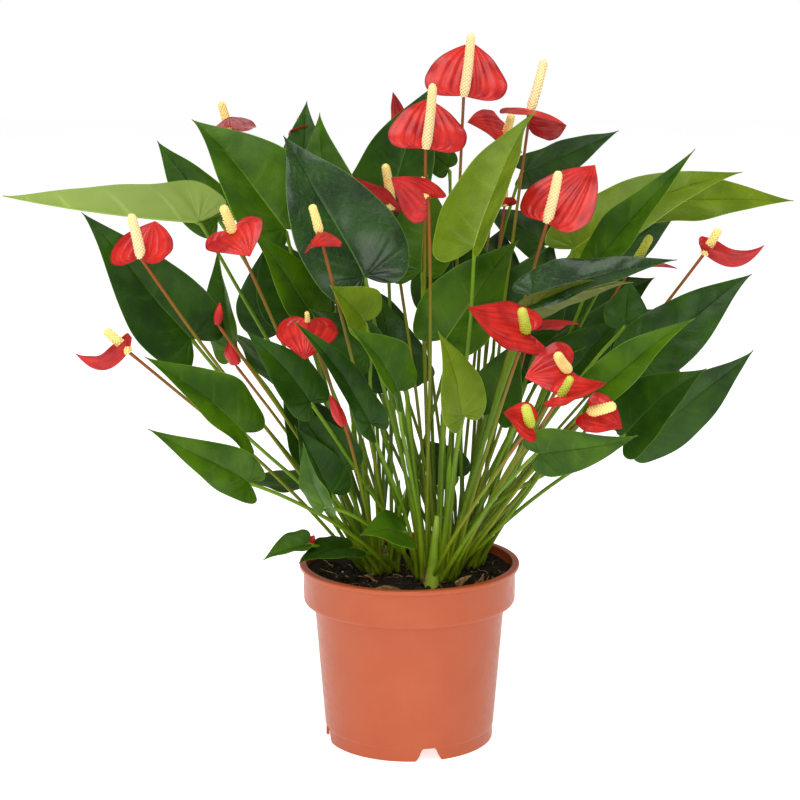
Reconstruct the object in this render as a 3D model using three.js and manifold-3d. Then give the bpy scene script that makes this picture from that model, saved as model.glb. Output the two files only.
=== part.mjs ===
// Potted anthurium: a compact flamingo flower growing in a round nursery pot.
// Millimetres, +Z up, origin on the standing plane under the middle of the pot.
// Leaves and flowers are laid out in a planting plan and then eased apart so none cross.
import * as THREE from 'three';
import { mergeVertices } from 'three/addons/utils/BufferGeometryUtils.js';
import Module from 'manifold-3d';

const wasm = await Module();
wasm.setup();

// ---- overall sizes ----
const RIM_DIAMETER = 170;
const POT_HEIGHT = 140;
const PLANT_SPREAD = 608;
const PLANT_HEIGHT = 545;
// ---- pot ----
const WALL = 2.2;
const LIP_OVERHANG = 3.3;
const LIP_HEIGHT = 3.8;
const COLLAR_HEIGHT = 30;
const COLLAR_STEP = 8.2;
const BODY_TAPER = 8;
const FOOT_HEIGHT = 10.5;
const FOOT_INSET = 0.6;
const NOTCH_TOP_WIDTH = 12;
const NOTCH_FOOT_WIDTH = 22;
const NOTCH_COUNT = 4;
const NOTCH_TURN = 13.5;
const DRAIN_HOLES = 4;
const DRAIN_HOLE_DIAMETER = 10;
const DRAIN_CIRCLE = 76;
const POT_FACETS = 36;
// ---- soil and crowns ----
const SOIL_BELOW_RIM = 10;
const CLEARANCE = 0.4;
const CROWN_HEIGHT = 24;
const CROWN_RADIUS = 5;
const INNER_RING = 10.5;
const OUTER_RING = 15;
// ---- foliage ----
const PETIOLE_DIAMETER = 3.2;
const FLOWER_STEM_DIAMETER = 2.9;
const BLADE_THICKNESS = 1.2;
const SPATHE_THICKNESS = 1.2;
const SPADIX_DIAMETER = 7.6;
const STEM_SIDES = 5;
const STEM_STEPS = 5;
// ---- spacing rules ----
const SAMPLE = 9;
const SHEET_GAP = 8;
const STEM_TO_SHEET = 6.5;
const STEM_GAP = 1.2;
const EASING_ROUNDS = 160;
const DEPTH_DROP = 0.12;

const COLOURS = {
  pot: { color: 0xd5744e, roughness: 0.5, metalness: 0 },
  soil: { color: 0x2b2017, roughness: 1, metalness: 0 },
  crown: { color: 0x7f9640, roughness: 0.6, metalness: 0 },
  leaf: { color: 0x2c5f12, roughness: 0.35, metalness: 0 },
  leaf_dark: { color: 0x1a420e, roughness: 0.3, metalness: 0 },
  leaf_pale: { color: 0x86a23a, roughness: 0.45, metalness: 0 },
  flower: { color: 0xd8352f, roughness: 0.25, metalness: 0 },
};

// Planting plan. Crowns: a left, b front right, c back right.
// The plan is drawn for a plant 608 wide whose foliage starts 140 above the standing plane.
const PLAN_SPREAD = 608;
const PLAN_HEIGHT = 545;
const PLAN_RIM = 140;
const CROWNS = {
  a: [-22, 4],
  b: [21, -20],
  c: [42, 20],
};

// Leaf rows: name, crown, tone, blade base, blade tip, width, facing, fold, arch.
const LEAVES = [
  ['leaf_01', 'a', 'leaf_pale', [-160, 20, 400], [-304, 0, 422], 84, [0, 0.25, 1], 42, -0.02],
  ['leaf_02', 'a', 'leaf_dark', [-160, -60, 327], [-233, -90, 423], 64, [0.24, -0.95, 0.21], 18, 0.05],
  ['leaf_03', 'a', 'leaf', [-93, -10, 399], [-164, 20, 478], 96, [0.53, -0.71, 0.46], 27, 0.04],
  ['leaf_04', 'a', 'leaf', [-150, 70, 396], [-197, 80, 456], 46, [-0.4, -0.8, 0.2], 20, 0.04],
  ['leaf_05', 'c', 'leaf_dark', [-92, 160, 402], [-85, 195, 479], 44, [0.1, -0.95, 0.2], 10, 0.04],
  ['leaf_06', 'c', 'leaf', [-60, 95, 376], [-72, 130, 474], 58, [-0.2, -0.9, 0.2], 15, 0.04],
  ['leaf_07', 'b', 'leaf_dark', [-33, -52, 369], [-94, 0, 467], 85, [0.32, -0.93, 0.18], 22, 0.06],
  ['leaf_08', 'a', 'leaf_dark', [-93, 50, 318], [-108, 60, 386], 78, [-0.1, -0.95, 0.1], 8, 0.04],
  ['leaf_09', 'a', 'leaf', [-72, -35, 338], [-116, -45, 401], 42, [0.53, -0.75, 0.39], 20, 0.04],
  ['leaf_10', 'a', 'leaf', [-128, -70, 316], [-141, -60, 390], 50, [-0.78, -0.61, -0.14], 28, 0.03],
  ['leaf_11', 'b', 'leaf_dark', [-71, -100, 286], [-116, -115, 341], 37, [0.32, -0.9, 0.29], 15, 0.05],
  ['leaf_12', 'a', 'leaf', [-117, -125, 269], [-183, -150, 328], 53, [0.46, -0.64, 0.61], 28, 0.05],
  ['leaf_13', 'a', 'leaf', [-112, -155, 240], [-176, -200, 288], 35, [0.2, -0.9, 0.38], 18, 0.06],
  ['leaf_14', 'b', 'leaf', [-60, -125, 215], [-74, -150, 267], 24, [-0.48, -0.86, -0.17], 20, 0.05],
  ['leaf_15', 'a', 'leaf_dark', [-44, -38, 160], [-82, -68, 157], 38, [0, -0.35, 0.95], 12, 0.08],
  ['leaf_16', 'b', 'leaf', [-4, -66, 180], [-36, -96, 186], 36, [0.1, -0.7, 0.7], 12, 0.1],
  ['leaf_17', 'b', 'leaf_pale', [46, -82, 395], [93, -5, 486], 79, [-0.73, -0.59, 0.33], 28, 0.05],
  ['leaf_18', 'b', 'leaf', [27, -46, 322], [81, -20, 392], 70, [-0.49, -0.79, 0.36], 18, 0.05],
  ['leaf_19', 'c', 'leaf_dark', [92, 110, 430], [169, 150, 458], 40, [0.18, -0.88, -0.43], 15, 0.04],
  ['leaf_20', 'c', 'leaf_pale', [127, 40, 377], [257, 60, 434], 62, [-0.3, -0.69, 0.66], 20, 0.08],
  ['leaf_21', 'c', 'leaf_pale', [188, 80, 404], [304, 100, 407], 47, [-0.03, -0.72, 0.7], 18, 0.04],
  ['leaf_22', 'c', 'leaf', [142, 10, 371], [212, 0, 457], 35, [-0.48, -0.78, 0.41], 26, 0.03],
  ['leaf_23', 'b', 'leaf_dark', [88, -106, 364], [190, -100, 389], 41, [-0.2, -0.61, 0.77], 24, 0.05],
  ['leaf_24', 'c', 'leaf_dark', [168, -60, 309], [250, -50, 371], 52, [-0.28, -0.89, 0.36], 14, 0.05],
  ['leaf_25', 'b', 'leaf', [127, -145, 299], [195, -160, 357], 36, [-0.37, -0.8, 0.48], 28, 0.04],
  ['leaf_26', 'c', 'leaf_dark', [168, -75, 255], [251, -60, 316], 57, [0.25, -0.91, -0.33], 12, 0.05],
  ['leaf_27', 'b', 'leaf_dark', [153, -130, 270], [205, -150, 320], 56, [-0.45, -0.7, 0.56], 18, 0.06],
  ['leaf_28', 'b', 'leaf', [90, -168, 263], [154, -205, 284], 36, [0.02, -1.0, -0.09], 12, 0.06],
  ['leaf_29', 'b', 'leaf_dark', [-28, -115, 273], [-81, -145, 353], 31, [0.5, -0.79, 0.37], 28, 0.06],
  ['leaf_30', 'b', 'leaf', [-8, -150, 304], [-41, -175, 353], 50, [0.62, -0.63, 0.47], 28, 0.06],
  ['leaf_32', 'a', 'leaf_dark', [-20, 120, 385], [23, 165, 496], 98, [-0.66, -0.72, 0.24], 15, 0.06],
  ['leaf_33', 'c', 'leaf_dark', [105, 78, 295], [196, 104, 345], 84, [-0.1, -0.9, 0.4], 10, 0.05],
  ['leaf_34', 'c', 'leaf', [70, 142, 300], [110, 216, 350], 82, [0.3, 0.7, 0.6], 12, 0.07],
  ['leaf_35', 'a', 'leaf_dark', [-60, 130, 280], [-120, 204, 312], 84, [-0.3, 0.6, 0.7], 12, 0.08],
];

// Flower rows: name, crown, spathe form, spathe base, spadix tip, spathe tip, width, fold, arch.
const FLOWERS = [
  ['flower_01', 'a', 'fan', [-199, -110, 324], [-215, -113, 340], [-235, -118, 324], 34, 66, -0.34],
  ['flower_02', 'a', 'heart', [-189, -88, 387], [-195, -93, 418], [-181, -64, 409], 50, 10, 0.06],
  ['flower_03', 'a', 'heart', [-127, -75, 405], [-132, -92, 425], [-113, -96, 390], 44, 6, 0.06],
  ['flower_04', 'a', 'heart', [-63, -120, 411], [-68, -122, 430], [-66, -150, 404], 34, -40, 0.06],
  ['flower_05', 'c', 'heart', [-148, 165, 458], [-154, 165, 480], [-144, 132, 470], 42, -8, 0.05],
  ['flower_07', 'b', 'heart', [-14, 55, 406], [-19, 52, 441], [-58, 30, 437], 30, 30, 0.03],
  ['flower_08', 'c', 'heart', [-6, 205, 452], [-5, 208, 466], [-14, 190, 486], 18, 12, 0.04],
  ['flower_09', 'b', 'fan', [12, 0, 458], [17, -6, 506], [14, 28, 492], 58, 6, 0.1],
  ['flower_10', 'c', 'fan', [41, 40, 494], [46, 32, 541], [48, 72, 532], 62, 6, 0.08],
  ['flower_11', 'b', 'heart', [13, -90, 432], [8, -78, 444], [-13, -98, 446], 40, -24, 0.1],
  ['flower_12', 'c', 'heart', [93, 66, 481], [104, 80, 519], [119, 40, 471], 60, -20, 0.06],
  ['flower_13', 'c', 'heart', [76, 112, 458], [80, 98, 475], [45, 84, 470], 46, 8, 0.05],
  ['flower_14', 'c', 'fan', [98, -80, 413], [105, -90, 450], [134, -50, 450], 56, 8, 0.08],
  ['flower_15', 'c', 'fan', [217, -30, 383], [227, -34, 402], [260, -36, 390], 36, 62, -0.3],
  ['flower_17', 'b', 'heart', [81, -122, 340], [77, -140, 359], [40, -144, 361], 44, 14, -0.1],
  ['flower_18', 'b', 'heart', [91, -25, 331], [94, -26, 346], [124, -52, 334], 40, -14, 0.05],
  ['flower_19', 'b', 'heart', [109, -160, 321], [100, -182, 336], [79, -168, 317], 44, 10, 0.04],
  ['flower_20', 'b', 'heart', [102, -184, 307], [108, -194, 322], [131, -200, 319], 32, 20, -0.06],
  ['flower_21', 'b', 'heart', [81, -196, 290], [77, -212, 306], [63, -204, 300], 30, 14, 0.02],
  ['flower_22', 'b', 'heart', [122, -180, 296], [137, -196, 304], [143, -186, 286], 36, 12, 0.04],
  ['flower_23', 'a', 'heart', [-72, -112, 346], [-72, -120, 354], [-73, -140, 324], 44, -14, 0.06],
];

const GROWTH = {
  spread: PLANT_SPREAD / PLAN_SPREAD,
  height: (PLANT_HEIGHT - POT_HEIGHT) / (PLAN_HEIGHT - PLAN_RIM),
};
const soilTop = POT_HEIGHT - SOIL_BELOW_RIM;
const floorTop = FOOT_HEIGHT + WALL;

// Half outlines from tip to lobe: along the midrib, then half width.
const OUTLINES = {
  leaf: [[1, 0], [0.64, 0.52], [0.3, 0.96], [0.02, 0.9], [-0.12, 0.45]],
  heart: [[1, 0], [0.6, 0.66], [0.12, 1], [-0.24, 0.62]],
  fan: [[1, 0], [0.66, 0.62], [0.22, 1], [-0.06, 0.6]],
};

/** One named mesh with its own finish. */
function piece(name, geometry, finish) {
  const mesh = new THREE.Mesh(geometry, new THREE.MeshStandardMaterial(COLOURS[finish]));
  mesh.name = name;
  return mesh;
}

/** Manifold solid from a three.js geometry, positions only. */
function solid(geometry) {
  const bare = new THREE.BufferGeometry();
  bare.setAttribute('position', geometry.getAttribute('position').clone());
  if (geometry.index) bare.setIndex(geometry.index.clone());
  const merged = mergeVertices(bare, 1e-4);
  const mesh = new wasm.Mesh({
    numProp: 3,
    vertProperties: new Float32Array(merged.getAttribute('position').array),
    triVerts: new Uint32Array(merged.index.array),
  });
  mesh.merge();
  return new wasm.Manifold(mesh);
}

/** three.js geometry from a manifold solid. */
function surface(shape) {
  const mesh = shape.getMesh();
  const geometry = new THREE.BufferGeometry();
  geometry.setAttribute('position', new THREE.BufferAttribute(new Float32Array(mesh.vertProperties), 3));
  geometry.setIndex(new THREE.BufferAttribute(new Uint32Array(mesh.triVerts), 1));
  geometry.computeVertexNormals();
  return geometry;
}

/** Turned solid from [radius, height] pairs, standing on +Z. */
function turned(profile, facets) {
  const points = profile.map(([r, z]) => new THREE.Vector2(r, z));
  const geometry = new THREE.LatheGeometry(points, facets);
  geometry.rotateX(Math.PI / 2);
  return geometry;
}

/** Radius of the pot's outside at a height, below the collar. */
function bodyRadius(z) {
  const top = RIM_DIAMETER / 2 - LIP_OVERHANG - COLLAR_STEP;
  const share = (z - FOOT_HEIGHT) / (POT_HEIGHT - COLLAR_HEIGHT - FOOT_HEIGHT);
  return top - BODY_TAPER * (1 - share);
}

/** Inside radius of the collar. */
function collarInside() {
  return RIM_DIAMETER / 2 - LIP_OVERHANG - WALL;
}

function pot() {
  const rim = RIM_DIAMETER / 2;
  const collar = rim - LIP_OVERHANG;
  const shoulder = POT_HEIGHT - COLLAR_HEIGHT;
  const foot = bodyRadius(FOOT_HEIGHT) - FOOT_INSET;
  const bodyTop = bodyRadius(shoulder - 3);
  const profile = [
    [0, FOOT_HEIGHT],
    [foot - WALL, FOOT_HEIGHT],
    [foot - WALL, 0],
    [foot, 0],
    [foot, FOOT_HEIGHT - 0.4],
    [bodyRadius(FOOT_HEIGHT), FOOT_HEIGHT + 0.6],
    [bodyTop, shoulder - 3],
    [bodyTop + 1.6, shoulder - 0.6],
    [collar - 1.8, shoulder],
    [collar, shoulder + 2.4],
    [collar, POT_HEIGHT - LIP_HEIGHT],
    [rim - 0.8, POT_HEIGHT - LIP_HEIGHT],
    [rim, POT_HEIGHT - LIP_HEIGHT / 2],
    [rim - 1, POT_HEIGHT],
    [collarInside() + 0.6, POT_HEIGHT],
    [collarInside(), POT_HEIGHT - 1.2],
    [collarInside(), shoulder + 3],
    [bodyTop - WALL, shoulder - 2],
    [bodyRadius(floorTop) - WALL, floorTop],
    [0, floorTop],
  ];
  let shape = solid(turned(profile, POT_FACETS));
  for (let i = 0; i < NOTCH_COUNT; i += 1) {
    shape = shape.subtract(solid(notch((360 / NOTCH_COUNT) * i + NOTCH_TURN - 90)));
  }
  for (let i = 0; i < DRAIN_HOLES; i += 1) {
    const turn = ((i + 0.5) * 2 * Math.PI) / DRAIN_HOLES;
    const hole = new THREE.CylinderGeometry(DRAIN_HOLE_DIAMETER / 2, DRAIN_HOLE_DIAMETER / 2, WALL * 4, 8);
    hole.rotateX(Math.PI / 2);
    const reach = DRAIN_CIRCLE / 2;
    hole.translate(reach * Math.cos(turn), reach * Math.sin(turn), FOOT_HEIGHT + WALL / 2);
    shape = shape.subtract(solid(hole));
  }
  return piece('pot', surface(shape), 'pot');
}

/** Flared cutter for one drain notch in the foot skirt. */
function notch(turn) {
  const half = NOTCH_TOP_WIDTH / 2;
  const foot = NOTCH_FOOT_WIDTH / 2;
  const shape = new THREE.Shape();
  shape.moveTo(-foot, -1);
  shape.lineTo(foot, -1);
  shape.lineTo(foot - 2, 2.5);
  shape.lineTo(half, FOOT_HEIGHT - 0.4);
  shape.lineTo(-half, FOOT_HEIGHT - 0.4);
  shape.lineTo(-foot + 2, 2.5);
  shape.closePath();
  const geometry = new THREE.ExtrudeGeometry(shape, { depth: 14, bevelEnabled: false });
  geometry.rotateX(Math.PI / 2);
  geometry.translate(0, -bodyRadius(FOOT_HEIGHT) + 10, 0);
  geometry.rotateZ(((turn + 90) * Math.PI) / 180);
  return geometry;
}

function soil() {
  const shoulder = POT_HEIGHT - COLLAR_HEIGHT;
  const bottom = floorTop + CLEARANCE;
  const bodyTop = bodyRadius(shoulder - 3) - WALL - CLEARANCE;
  const profile = [
    [0, bottom],
    [bodyRadius(floorTop) - WALL - CLEARANCE, bottom],
    [bodyTop, shoulder - 2],
    [collarInside() - CLEARANCE, shoulder + 3 + CLEARANCE],
    [collarInside() - CLEARANCE, soilTop - 1],
    [collarInside() - CLEARANCE - 2, soilTop],
    [0, soilTop],
  ];
  return piece('soil', cleaned(turned(profile, POT_FACETS)), 'soil');
}

/** Clean closed copy of a geometry. */
function cleaned(geometry) {
  return surface(solid(geometry));
}

function crown(name, [x, y]) {
  const base = soilTop + CLEARANCE;
  const profile = [
    [0, base],
    [CROWN_RADIUS, base],
    [CROWN_RADIUS * 1.1, base + CROWN_HEIGHT * 0.25],
    [CROWN_RADIUS * 0.7, base + CROWN_HEIGHT * 0.7],
    [0, base + CROWN_HEIGHT],
  ];
  const geometry = turned(profile, 8);
  geometry.translate(x, y, 0);
  return piece(name, cleaned(geometry), 'crown');
}

/** Point of the plan in the plant's own size. */
function grown([x, y, z]) {
  return new THREE.Vector3(x * GROWTH.spread, y * GROWTH.spread, POT_HEIGHT + (z - PLAN_RIM) * GROWTH.height);
}

/** Right-handed frame of a sheet: along the midrib, across it and out of its face. */
function sheetFrame(base, tip, facing) {
  const along = tip.clone().sub(base);
  const length = along.length();
  along.normalize();
  const out = facing.clone().addScaledVector(along, -facing.dot(along)).normalize();
  const across = out.clone().cross(along);
  return { base, along, across, out, length };
}

/** Point on a folded, arched sheet; s runs along the midrib and w across, in mm. */
function sheetPoint(sheet, s, w) {
  const { frame, fold, arch, width } = sheet;
  const share = s / frame.length;
  const side = Math.abs(w);
  const lift = 4 * arch * s * (1 - share) * (s < 0 ? 0.5 : 1);
  const droop = (0.12 * side * side) / (width / 2);
  const point = frame.base.clone();
  point.addScaledVector(frame.along, s);
  point.addScaledVector(frame.across, w * Math.cos(fold));
  point.addScaledVector(frame.out, lift + side * Math.sin(fold) - droop);
  return point;
}

/** Half width of the outline at a share of the midrib. */
function halfWidth(outline, share) {
  for (let i = 0; i + 1 < outline.length; i += 1) {
    const [s0, w0] = outline[i];
    const [s1, w1] = outline[i + 1];
    if (share <= s0 && share >= s1) return w0 + ((w1 - w0) * (s0 - share)) / (s0 - s1);
  }
  return 0;
}

/** Centre points spread over a sheet, used to keep sheets apart. */
function sheetSamples(sheet) {
  const { frame, width, outline } = sheet;
  const rows = Math.max(4, Math.ceil((frame.length * 1.2) / SAMPLE));
  const points = [];
  for (let i = 0; i <= rows; i += 1) {
    const share = -0.21 + (1.21 * i) / rows;
    const half = (halfWidth(outline, share) * width) / 2;
    const columns = Math.max(1, Math.ceil((2 * half) / SAMPLE));
    for (let j = 0; j <= columns; j += 1) {
      points.push(sheetPoint(sheet, share * frame.length, -half + (2 * half * j) / columns));
    }
  }
  return points;
}

/** Closed thin sheet with its lobes left and right of the stalk. */
function sheetGeometry(sheet, thickness, rings) {
  const { frame, width, outline } = sheet;
  const right = outline.map(([s, w]) => [s * frame.length, (w * width) / 2]);
  const left = right.slice(1).map(([s, w]) => [s, -w]);
  const edge = right.slice().reverse().concat(left);
  const spokes = edge.length;
  const top = [];
  const bottom = [];
  const place = (s, w) => {
    const step = 0.5;
    const here = sheetPoint(sheet, s, w);
    const du = sheetPoint(sheet, s + step, w).sub(sheetPoint(sheet, s - step, w));
    const inner = Math.abs(w) < step ? 0 : w;
    const dv = sheetPoint(sheet, s, inner + step).sub(sheetPoint(sheet, s, inner - step));
    const normal = inner === 0 ? frame.out.clone() : dv.cross(du).negate().normalize();
    top.push(here.clone().addScaledVector(normal, thickness / 2));
    bottom.push(here.clone().addScaledVector(normal, -thickness / 2));
  };
  place(0, 0);
  for (const [s, w] of edge) {
    for (const q of rings) place(s * q, w * q);
  }
  const count = top.length;
  const at = (spoke, ring) => (ring < 0 ? 0 : 1 + spoke * rings.length + ring);
  const faces = [];
  const quad = (a, b, c, d) => {
    if (a !== b) faces.push([a, b, c]);
    if (c !== d) faces.push([a, c, d]);
  };
  for (let i = 0; i + 1 < spokes; i += 1) {
    for (let r = 0; r < rings.length; r += 1) {
      quad(at(i, r - 1), at(i + 1, r - 1), at(i + 1, r), at(i, r));
      quad(count + at(i + 1, r - 1), count + at(i, r - 1), count + at(i, r), count + at(i + 1, r));
    }
    const last = rings.length - 1;
    quad(at(i, last), at(i + 1, last), count + at(i + 1, last), count + at(i, last));
  }
  for (let r = 0; r < rings.length; r += 1) {
    quad(at(0, r - 1), at(0, r), count + at(0, r), count + at(0, r - 1));
    const far = spokes - 1;
    quad(at(far, r), at(far, r - 1), count + at(far, r - 1), count + at(far, r));
  }
  const all = top.concat(bottom);
  const geometry = new THREE.BufferGeometry();
  geometry.setAttribute('position', new THREE.Float32BufferAttribute(all.flatMap((p) => p.toArray()), 3));
  geometry.setIndex(faces.flat());
  return geometry;
}

/** Stalk swept along its centre curve. */
function stalkGeometry(curve, diameter) {
  const shape = new THREE.Shape();
  for (let i = 0; i < STEM_SIDES; i += 1) {
    const turn = (2 * Math.PI * i) / STEM_SIDES;
    const x = (diameter / 2) * Math.cos(turn);
    const y = (diameter / 2) * Math.sin(turn);
    if (i === 0) shape.moveTo(x, y);
    else shape.lineTo(x, y);
  }
  shape.closePath();
  return new THREE.ExtrudeGeometry(shape, { steps: STEM_STEPS, extrudePath: curve, bevelEnabled: false });
}

/** Blunt finger-shaped spadix from its foot to its tip. */
function spadixGeometry(foot, tip) {
  const length = foot.distanceTo(tip);
  const radius = Math.min(SPADIX_DIAMETER / 2, length * 0.16);
  const profile = [
    [0, -1],
    [radius * 0.8, -1],
    [radius, length * 0.35],
    [radius * 0.8, length * 0.85],
    [0, length],
  ];
  const geometry = turned(profile, 6);
  const aim = tip.clone().sub(foot).normalize();
  geometry.applyQuaternion(new THREE.Quaternion().setFromUnitVectors(new THREE.Vector3(0, 0, 1), aim));
  geometry.translate(foot.x, foot.y, foot.z);
  return geometry;
}

/** Working record of one stalked leaf or flower. */
function shoot(name, crownKey, finish, form, base, tip, width, facing, fold, arch, spadixTip) {
  const foot = grown(base);
  const frame = sheetFrame(foot, grown(tip), facing);
  const outline = OUTLINES[form];
  const sheet = { frame, fold: (fold * Math.PI) / 180, arch, outline, width: width * GROWTH.spread };
  const spadix = spadixTip ? grown(spadixTip) : null;
  const diameter = form === 'leaf' ? PETIOLE_DIAMETER : FLOWER_STEM_DIAMETER;
  return { name, crownKey, finish, form, sheet, spadix, diameter };
}

function plannedShoots() {
  const shoots = [];
  for (const [name, key, tone, base, tip, width, facing, fold, arch] of LEAVES) {
    shoots.push(shoot(name, key, tone, 'leaf', base, tip, width, new THREE.Vector3(...facing), fold, arch));
  }
  for (const [name, key, form, base, spadixTip, tip, width, fold, arch] of FLOWERS) {
    const facing = grown(spadixTip).sub(grown(base));
    shoots.push(shoot(name, key, 'flower', form, base, tip, width, facing, fold, arch, spadixTip));
  }
  return shoots;
}

/** Rooting places round each crown, steep stalks inside and low ones outside. */
function root(shoots) {
  for (const [key, [cx, cy]] of Object.entries(CROWNS)) {
    const group = shoots.filter((item) => item.crownKey === key);
    const lean = (item) => {
      const { base } = item.sheet.frame;
      return Math.hypot(base.x - cx, base.y - cy) / (base.z - soilTop);
    };
    const ordered = group.slice().sort((a, b) => lean(a) - lean(b));
    const split = Math.floor(group.length * 0.4);
    seat(ordered.slice(0, split), cx, cy, INNER_RING);
    seat(ordered.slice(split), cx, cy, OUTER_RING);
  }
}

/** Spread one ring of stalks evenly in the order of the directions they lean. */
function seat(ring, cx, cy, radius) {
  const bearing = (item) => Math.atan2(item.sheet.frame.base.y - cy, item.sheet.frame.base.x - cx);
  const ordered = ring.slice().sort((a, b) => bearing(a) - bearing(b));
  const step = (2 * Math.PI) / Math.max(1, ordered.length);
  let drift = 0;
  ordered.forEach((item, i) => {
    drift += bearing(item) - i * step;
  });
  const start = drift / Math.max(1, ordered.length);
  ordered.forEach((item, i) => {
    const turn = start + i * step;
    const x = cx + radius * Math.cos(turn);
    const y = cy + radius * Math.sin(turn);
    item.root = new THREE.Vector3(x, y, soilTop + CLEARANCE + item.diameter / 2);
  });
}

/** Curve of a stalk from the soil up to the sheet it carries. */
function bend(item) {
  const { base, along, out } = item.sheet.frame;
  const end = base.clone().addScaledVector(along, item.diameter * 0.8);
  const reach = end.distanceTo(item.root);
  const first = item.root.clone().lerp(end, 0.33);
  first.z += reach * 0.07;
  const last = item.root.clone().lerp(end, 0.67);
  last.z += reach * 0.05;
  const arrive = item.spadix ? item.spadix.clone().sub(base).normalize() : along.clone().add(out).normalize();
  const approach = end.clone().addScaledVector(arrive, -0.3 * reach);
  last.lerp(approach, 0.3);
  item.bend = [first, last];
  item.curve = new THREE.CubicBezierCurve3(item.root, first, last, end);
}

/** Closest approach of two short segments. */
function closest(a, b, c, d) {
  const u = b.clone().sub(a);
  const v = d.clone().sub(c);
  const w = a.clone().sub(c);
  const uu = u.dot(u);
  const uv = u.dot(v);
  const vv = v.dot(v);
  const uw = u.dot(w);
  const vw = v.dot(w);
  const det = uu * vv - uv * uv;
  let s = det < 1e-9 ? 0.5 : THREE.MathUtils.clamp((uv * vw - vv * uw) / det, 0, 1);
  const t = THREE.MathUtils.clamp((uv * s + vw) / Math.max(vv, 1e-9), 0, 1);
  s = THREE.MathUtils.clamp((uv * t - uw) / Math.max(uu, 1e-9), 0, 1);
  const gap = a.clone().addScaledVector(u, s).sub(c.clone().addScaledVector(v, t));
  return { gap, s, t };
}

/** Move a stalk's curve sideways at a share of its length, its ends staying put. */
function nudge(item, share, push) {
  const b1 = 3 * (1 - share) * (1 - share) * share;
  const b2 = 3 * (1 - share) * share * share;
  const scale = 1 / Math.max(0.12, b1 * b1 + b2 * b2);
  item.bend[0].addScaledVector(push, Math.min(2, b1 * scale));
  item.bend[1].addScaledVector(push, Math.min(2, b2 * scale));
}

/** Carry a shoot's sheet, spadix and stalk end along by a step. */
function carry(item, step) {
  item.sheet.frame.base.add(step);
  if (item.spadix) item.spadix.add(step);
  item.curve.v3.add(step);
  item.bend[1].addScaledVector(step, 0.6);
  for (const point of item.samples) point.add(step);
}

/** Plan depth order: sheets nearer the front are eased forward, the others back. */
function easeSheets(shoots, grid) {
  const cell = SHEET_GAP;
  grid.clear();
  shoots.forEach((item, index) => {
    for (const point of item.samples) {
      const key = cellKey(point, cell);
      if (!grid.has(key)) grid.set(key, []);
      grid.get(key).push([index, point]);
    }
  });
  const steps = shoots.map(() => new THREE.Vector3());
  shoots.forEach((item, index) => {
    for (const point of item.samples) {
      for (const [other, place] of neighbours(grid, point, cell)) {
        if (other <= index) continue;
        const distance = point.distanceTo(place);
        if (distance >= SHEET_GAP) continue;
        const order = item.depth >= shoots[other].depth ? 1 : -1;
        const push = Math.min(0.5, 0.25 * (SHEET_GAP - distance));
        const rise = 0.35 * (item.sheet.frame.out.z + shoots[other].sheet.frame.out.z) * -order;
        const limit = (step, amount) => {
          if (Math.abs(step.y + amount) < 1.2) step.y += amount;
        };
        limit(steps[index], order * push);
        limit(steps[other], -order * push);
        steps[index].z = THREE.MathUtils.clamp(steps[index].z + rise * push * 0.2, -0.2, 0.2);
        steps[other].z = THREE.MathUtils.clamp(steps[other].z - rise * push * 0.2, -0.2, 0.2);
      }
    }
  });
  shoots.forEach((item, index) => {
    steps[index].z -= DEPTH_DROP * steps[index].y;
    carry(item, steps[index]);
  });
}

function cellKey(point, cell) {
  return `${Math.floor(point.x / cell)},${Math.floor(point.y / cell)},${Math.floor(point.z / cell)}`;
}

function* neighbours(grid, point, cell) {
  for (let i = -1; i <= 1; i += 1) {
    for (let j = -1; j <= 1; j += 1) {
      for (let k = -1; k <= 1; k += 1) {
        const near = new THREE.Vector3(point.x + i * cell, point.y + j * cell, point.z + k * cell);
        yield* grid.get(cellKey(near, cell)) ?? [];
      }
    }
  }
}

/** Ease stalks away from each other and from other shoots' sheets. */
function easeStalks(shoots) {
  const steps = 14;
  const lines = shoots.map((item) => item.curve.getPoints(steps));
  for (let a = 0; a < shoots.length; a += 1) {
    for (let b = a + 1; b < shoots.length; b += 1) {
      const need = (shoots[a].diameter + shoots[b].diameter) / 2 + STEM_GAP;
      for (let i = 0; i < steps; i += 1) {
        for (let j = 0; j < steps; j += 1) {
          if (lines[a][i].distanceTo(lines[b][j]) > 60) continue;
          const { gap, s, t } = closest(lines[a][i], lines[a][i + 1], lines[b][j], lines[b][j + 1]);
          const distance = gap.length();
          if (distance >= need) continue;
          if (distance < 1e-3) gap.set(0, 1, 0);
          gap.normalize().multiplyScalar(0.5 * (need - distance));
          nudge(shoots[a], (i + s) / steps, gap);
          nudge(shoots[b], (j + t) / steps, gap.negate());
        }
      }
    }
  }
}

/** Keep stalks clear of the sheets that belong to other shoots. */
function easeStalksOffSheets(shoots) {
  const steps = 14;
  for (const item of shoots) {
    const line = item.curve.getPoints(steps);
    const box = new THREE.Box3().setFromPoints(line).expandByScalar(STEM_TO_SHEET);
    for (const other of shoots) {
      if (other === item) continue;
      const pushes = [];
      for (const point of other.samples) {
        if (!box.containsPoint(point)) continue;
        for (let i = 0; i < steps; i += 1) {
          const { gap, s } = closest(line[i], line[i + 1], point, point);
          const distance = gap.length();
          if (distance < STEM_TO_SHEET) pushes.push([(i + s) / steps, gap, distance]);
        }
      }
      if (pushes.length === 0) continue;
      const side = pushes.reduce((sum, [, gap]) => sum + Math.sign(gap.dot(other.sheet.frame.out)), 0);
      const away = other.sheet.frame.out.clone().multiplyScalar(side >= 0 ? 1 : -1);
      for (const [share, gap, distance] of pushes) {
        const push = away.clone().addScaledVector(gap, 0.5 / Math.max(distance, 0.5)).normalize();
        nudge(item, share, push.multiplyScalar((0.3 * (STEM_TO_SHEET - distance)) / Math.sqrt(pushes.length)));
      }
    }
  }
}

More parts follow.
